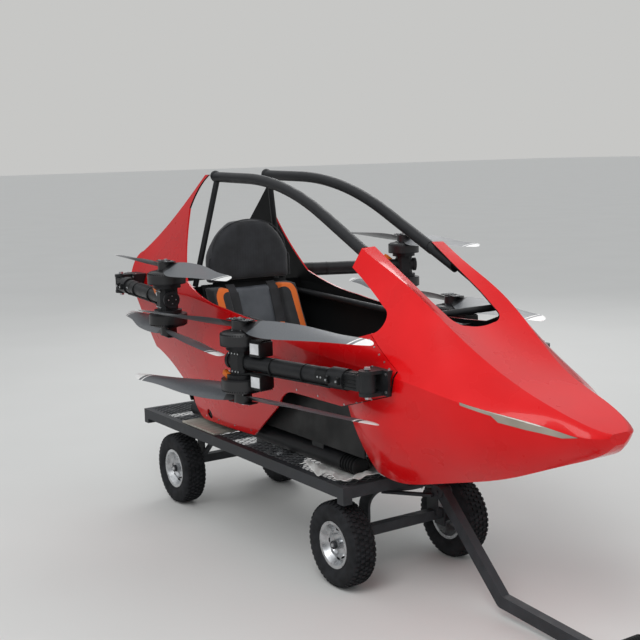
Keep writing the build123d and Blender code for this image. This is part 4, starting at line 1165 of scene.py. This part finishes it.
def leg_bolts(mesh):
    for x in (-18, 18):
        for y in (-150, -110, 110, 150):
            screw(mesh, (x, y, 350), (0, 0, -1), 6.0, 5.0, 6)


def turntable_bolts(mesh):
    for x, y in ring(6, 95, 0.5):
        screw(mesh, (x, y, 340.6), (0, 0, -1), 6.0, 5.0, 6)


def handle_grips(mesh):
    ribs = [(46 + 11 * k, 50 + 11 * k, 0.0178) for k in range(8)]
    for side in (-1, 1):
        for start, end, radius in [(40, 132, 0.0165)] + ribs:
            bar(mesh, at(HANDLE_X, side * start, HANDLE_Z), at(HANDLE_X, side * end, HANDLE_Z), radius, 24)


rear, front = millimetres(at(0, 0, 0)), millimetres(at(WHEELBASE, 0, 0))
in_frame("rear_leg_bolts", rear, STEEL, "airframe", leg_bolts)
in_frame("turntable_bolts", front, STEEL, "front_bogie", turntable_bolts)
in_frame("handle_grips", SCENE, (BUFFER_RUBBER, "tyre_rubber"), "drawbar", handle_grips)
print("trolley fitted")

# %% [markdown]
# The studio is a pale floor, a pale surrounding light and two large soft lamps. The camera sees the
# world as light grey. Glossy surfaces mirror a sky that is bright overhead and dim at the horizon,
# so that the red shines on top and keeps its depth on the sides.

# %% Studio
SKY, BACKDROP = hex_linear("#F4F6F8"), hex_linear("#ECECEA")
SKY_STRENGTH, BACKDROP_STRENGTH = 0.76, 0.68
MIRRORED_LOW, MIRRORED_HIGH, MIRRORED_SPAN = 0.15, 1.0, 0.7
LAMPS = [("key_lamp", (2.5, -3.5, 5.0), 135.0), ("back_lamp", (-4.0, 3.5, 4.5), 80.0)]
LAMP_SIZE = 3.0
LAMP_TARGET = Vector((0, 0, 0.6))
FLOOR_SIZE = 150.0


def world_light():
    world = bpy.data.worlds.new("pale_studio")
    bpy.context.scene.world = world
    world.use_nodes = True
    tree = world.node_tree
    tree.nodes.clear()
    soft = add(tree, "ShaderNodeBackground", {"Color": SKY, "Strength": SKY_STRENGTH})
    direction = add(tree, "ShaderNodeTexCoord").outputs["Generated"]
    height = add(tree, "ShaderNodeSeparateXYZ", Vector=direction).outputs["Z"]
    overhead = level(tree, height, MIRRORED_LOW, MIRRORED_HIGH, 0.0, MIRRORED_SPAN)
    mirrored = add(tree, "ShaderNodeBackground", {"Color": SKY}, Strength=overhead)
    seen = add(tree, "ShaderNodeBackground", {"Color": BACKDROP, "Strength": BACKDROP_STRENGTH})
    rays = add(tree, "ShaderNodeLightPath").outputs
    shown = soft.outputs[0]
    for kind, other in (("Is Glossy Ray", mirrored), ("Is Camera Ray", seen)):
        mixed = add(tree, "ShaderNodeMixShader")
        for socket, source in zip(mixed.inputs, (rays[kind], shown, other.outputs[0])):
            tree.links.new(source, socket)
        shown = mixed.outputs[0]
    add(tree, "ShaderNodeOutputWorld", Surface=shown)


def lamp(name, position, power):
    data = bpy.data.lights.new(name, "AREA")
    data.size = LAMP_SIZE
    data.energy = power
    made = add_object(name, data)
    made.location = position
    made.rotation_euler = (LAMP_TARGET - Vector(position)).to_track_quat("-Z", "Y").to_euler()


def floor():
    mesh = bmesh.new()
    bmesh.ops.create_grid(mesh, x_segments=1, y_segments=1, size=FLOOR_SIZE)
    data = bpy.data.meshes.new("studio_floor")
    mesh.to_mesh(data)
    mesh.free()
    made = add_object("studio_floor", data)
    material, tree, shader = new_material("pale_matt_floor", {"Roughness": 0.9, "Specular IOR Level": 0.1})
    tone = noise(tree, 900.0, 2.0)
    paint(tree, shader, tone, "#D3D3D1", "#D5D5D3")
    data.materials.append(material)


world_light()
for name, position, power in LAMPS:
    lamp(name, position, power)
floor()
print("studio set")
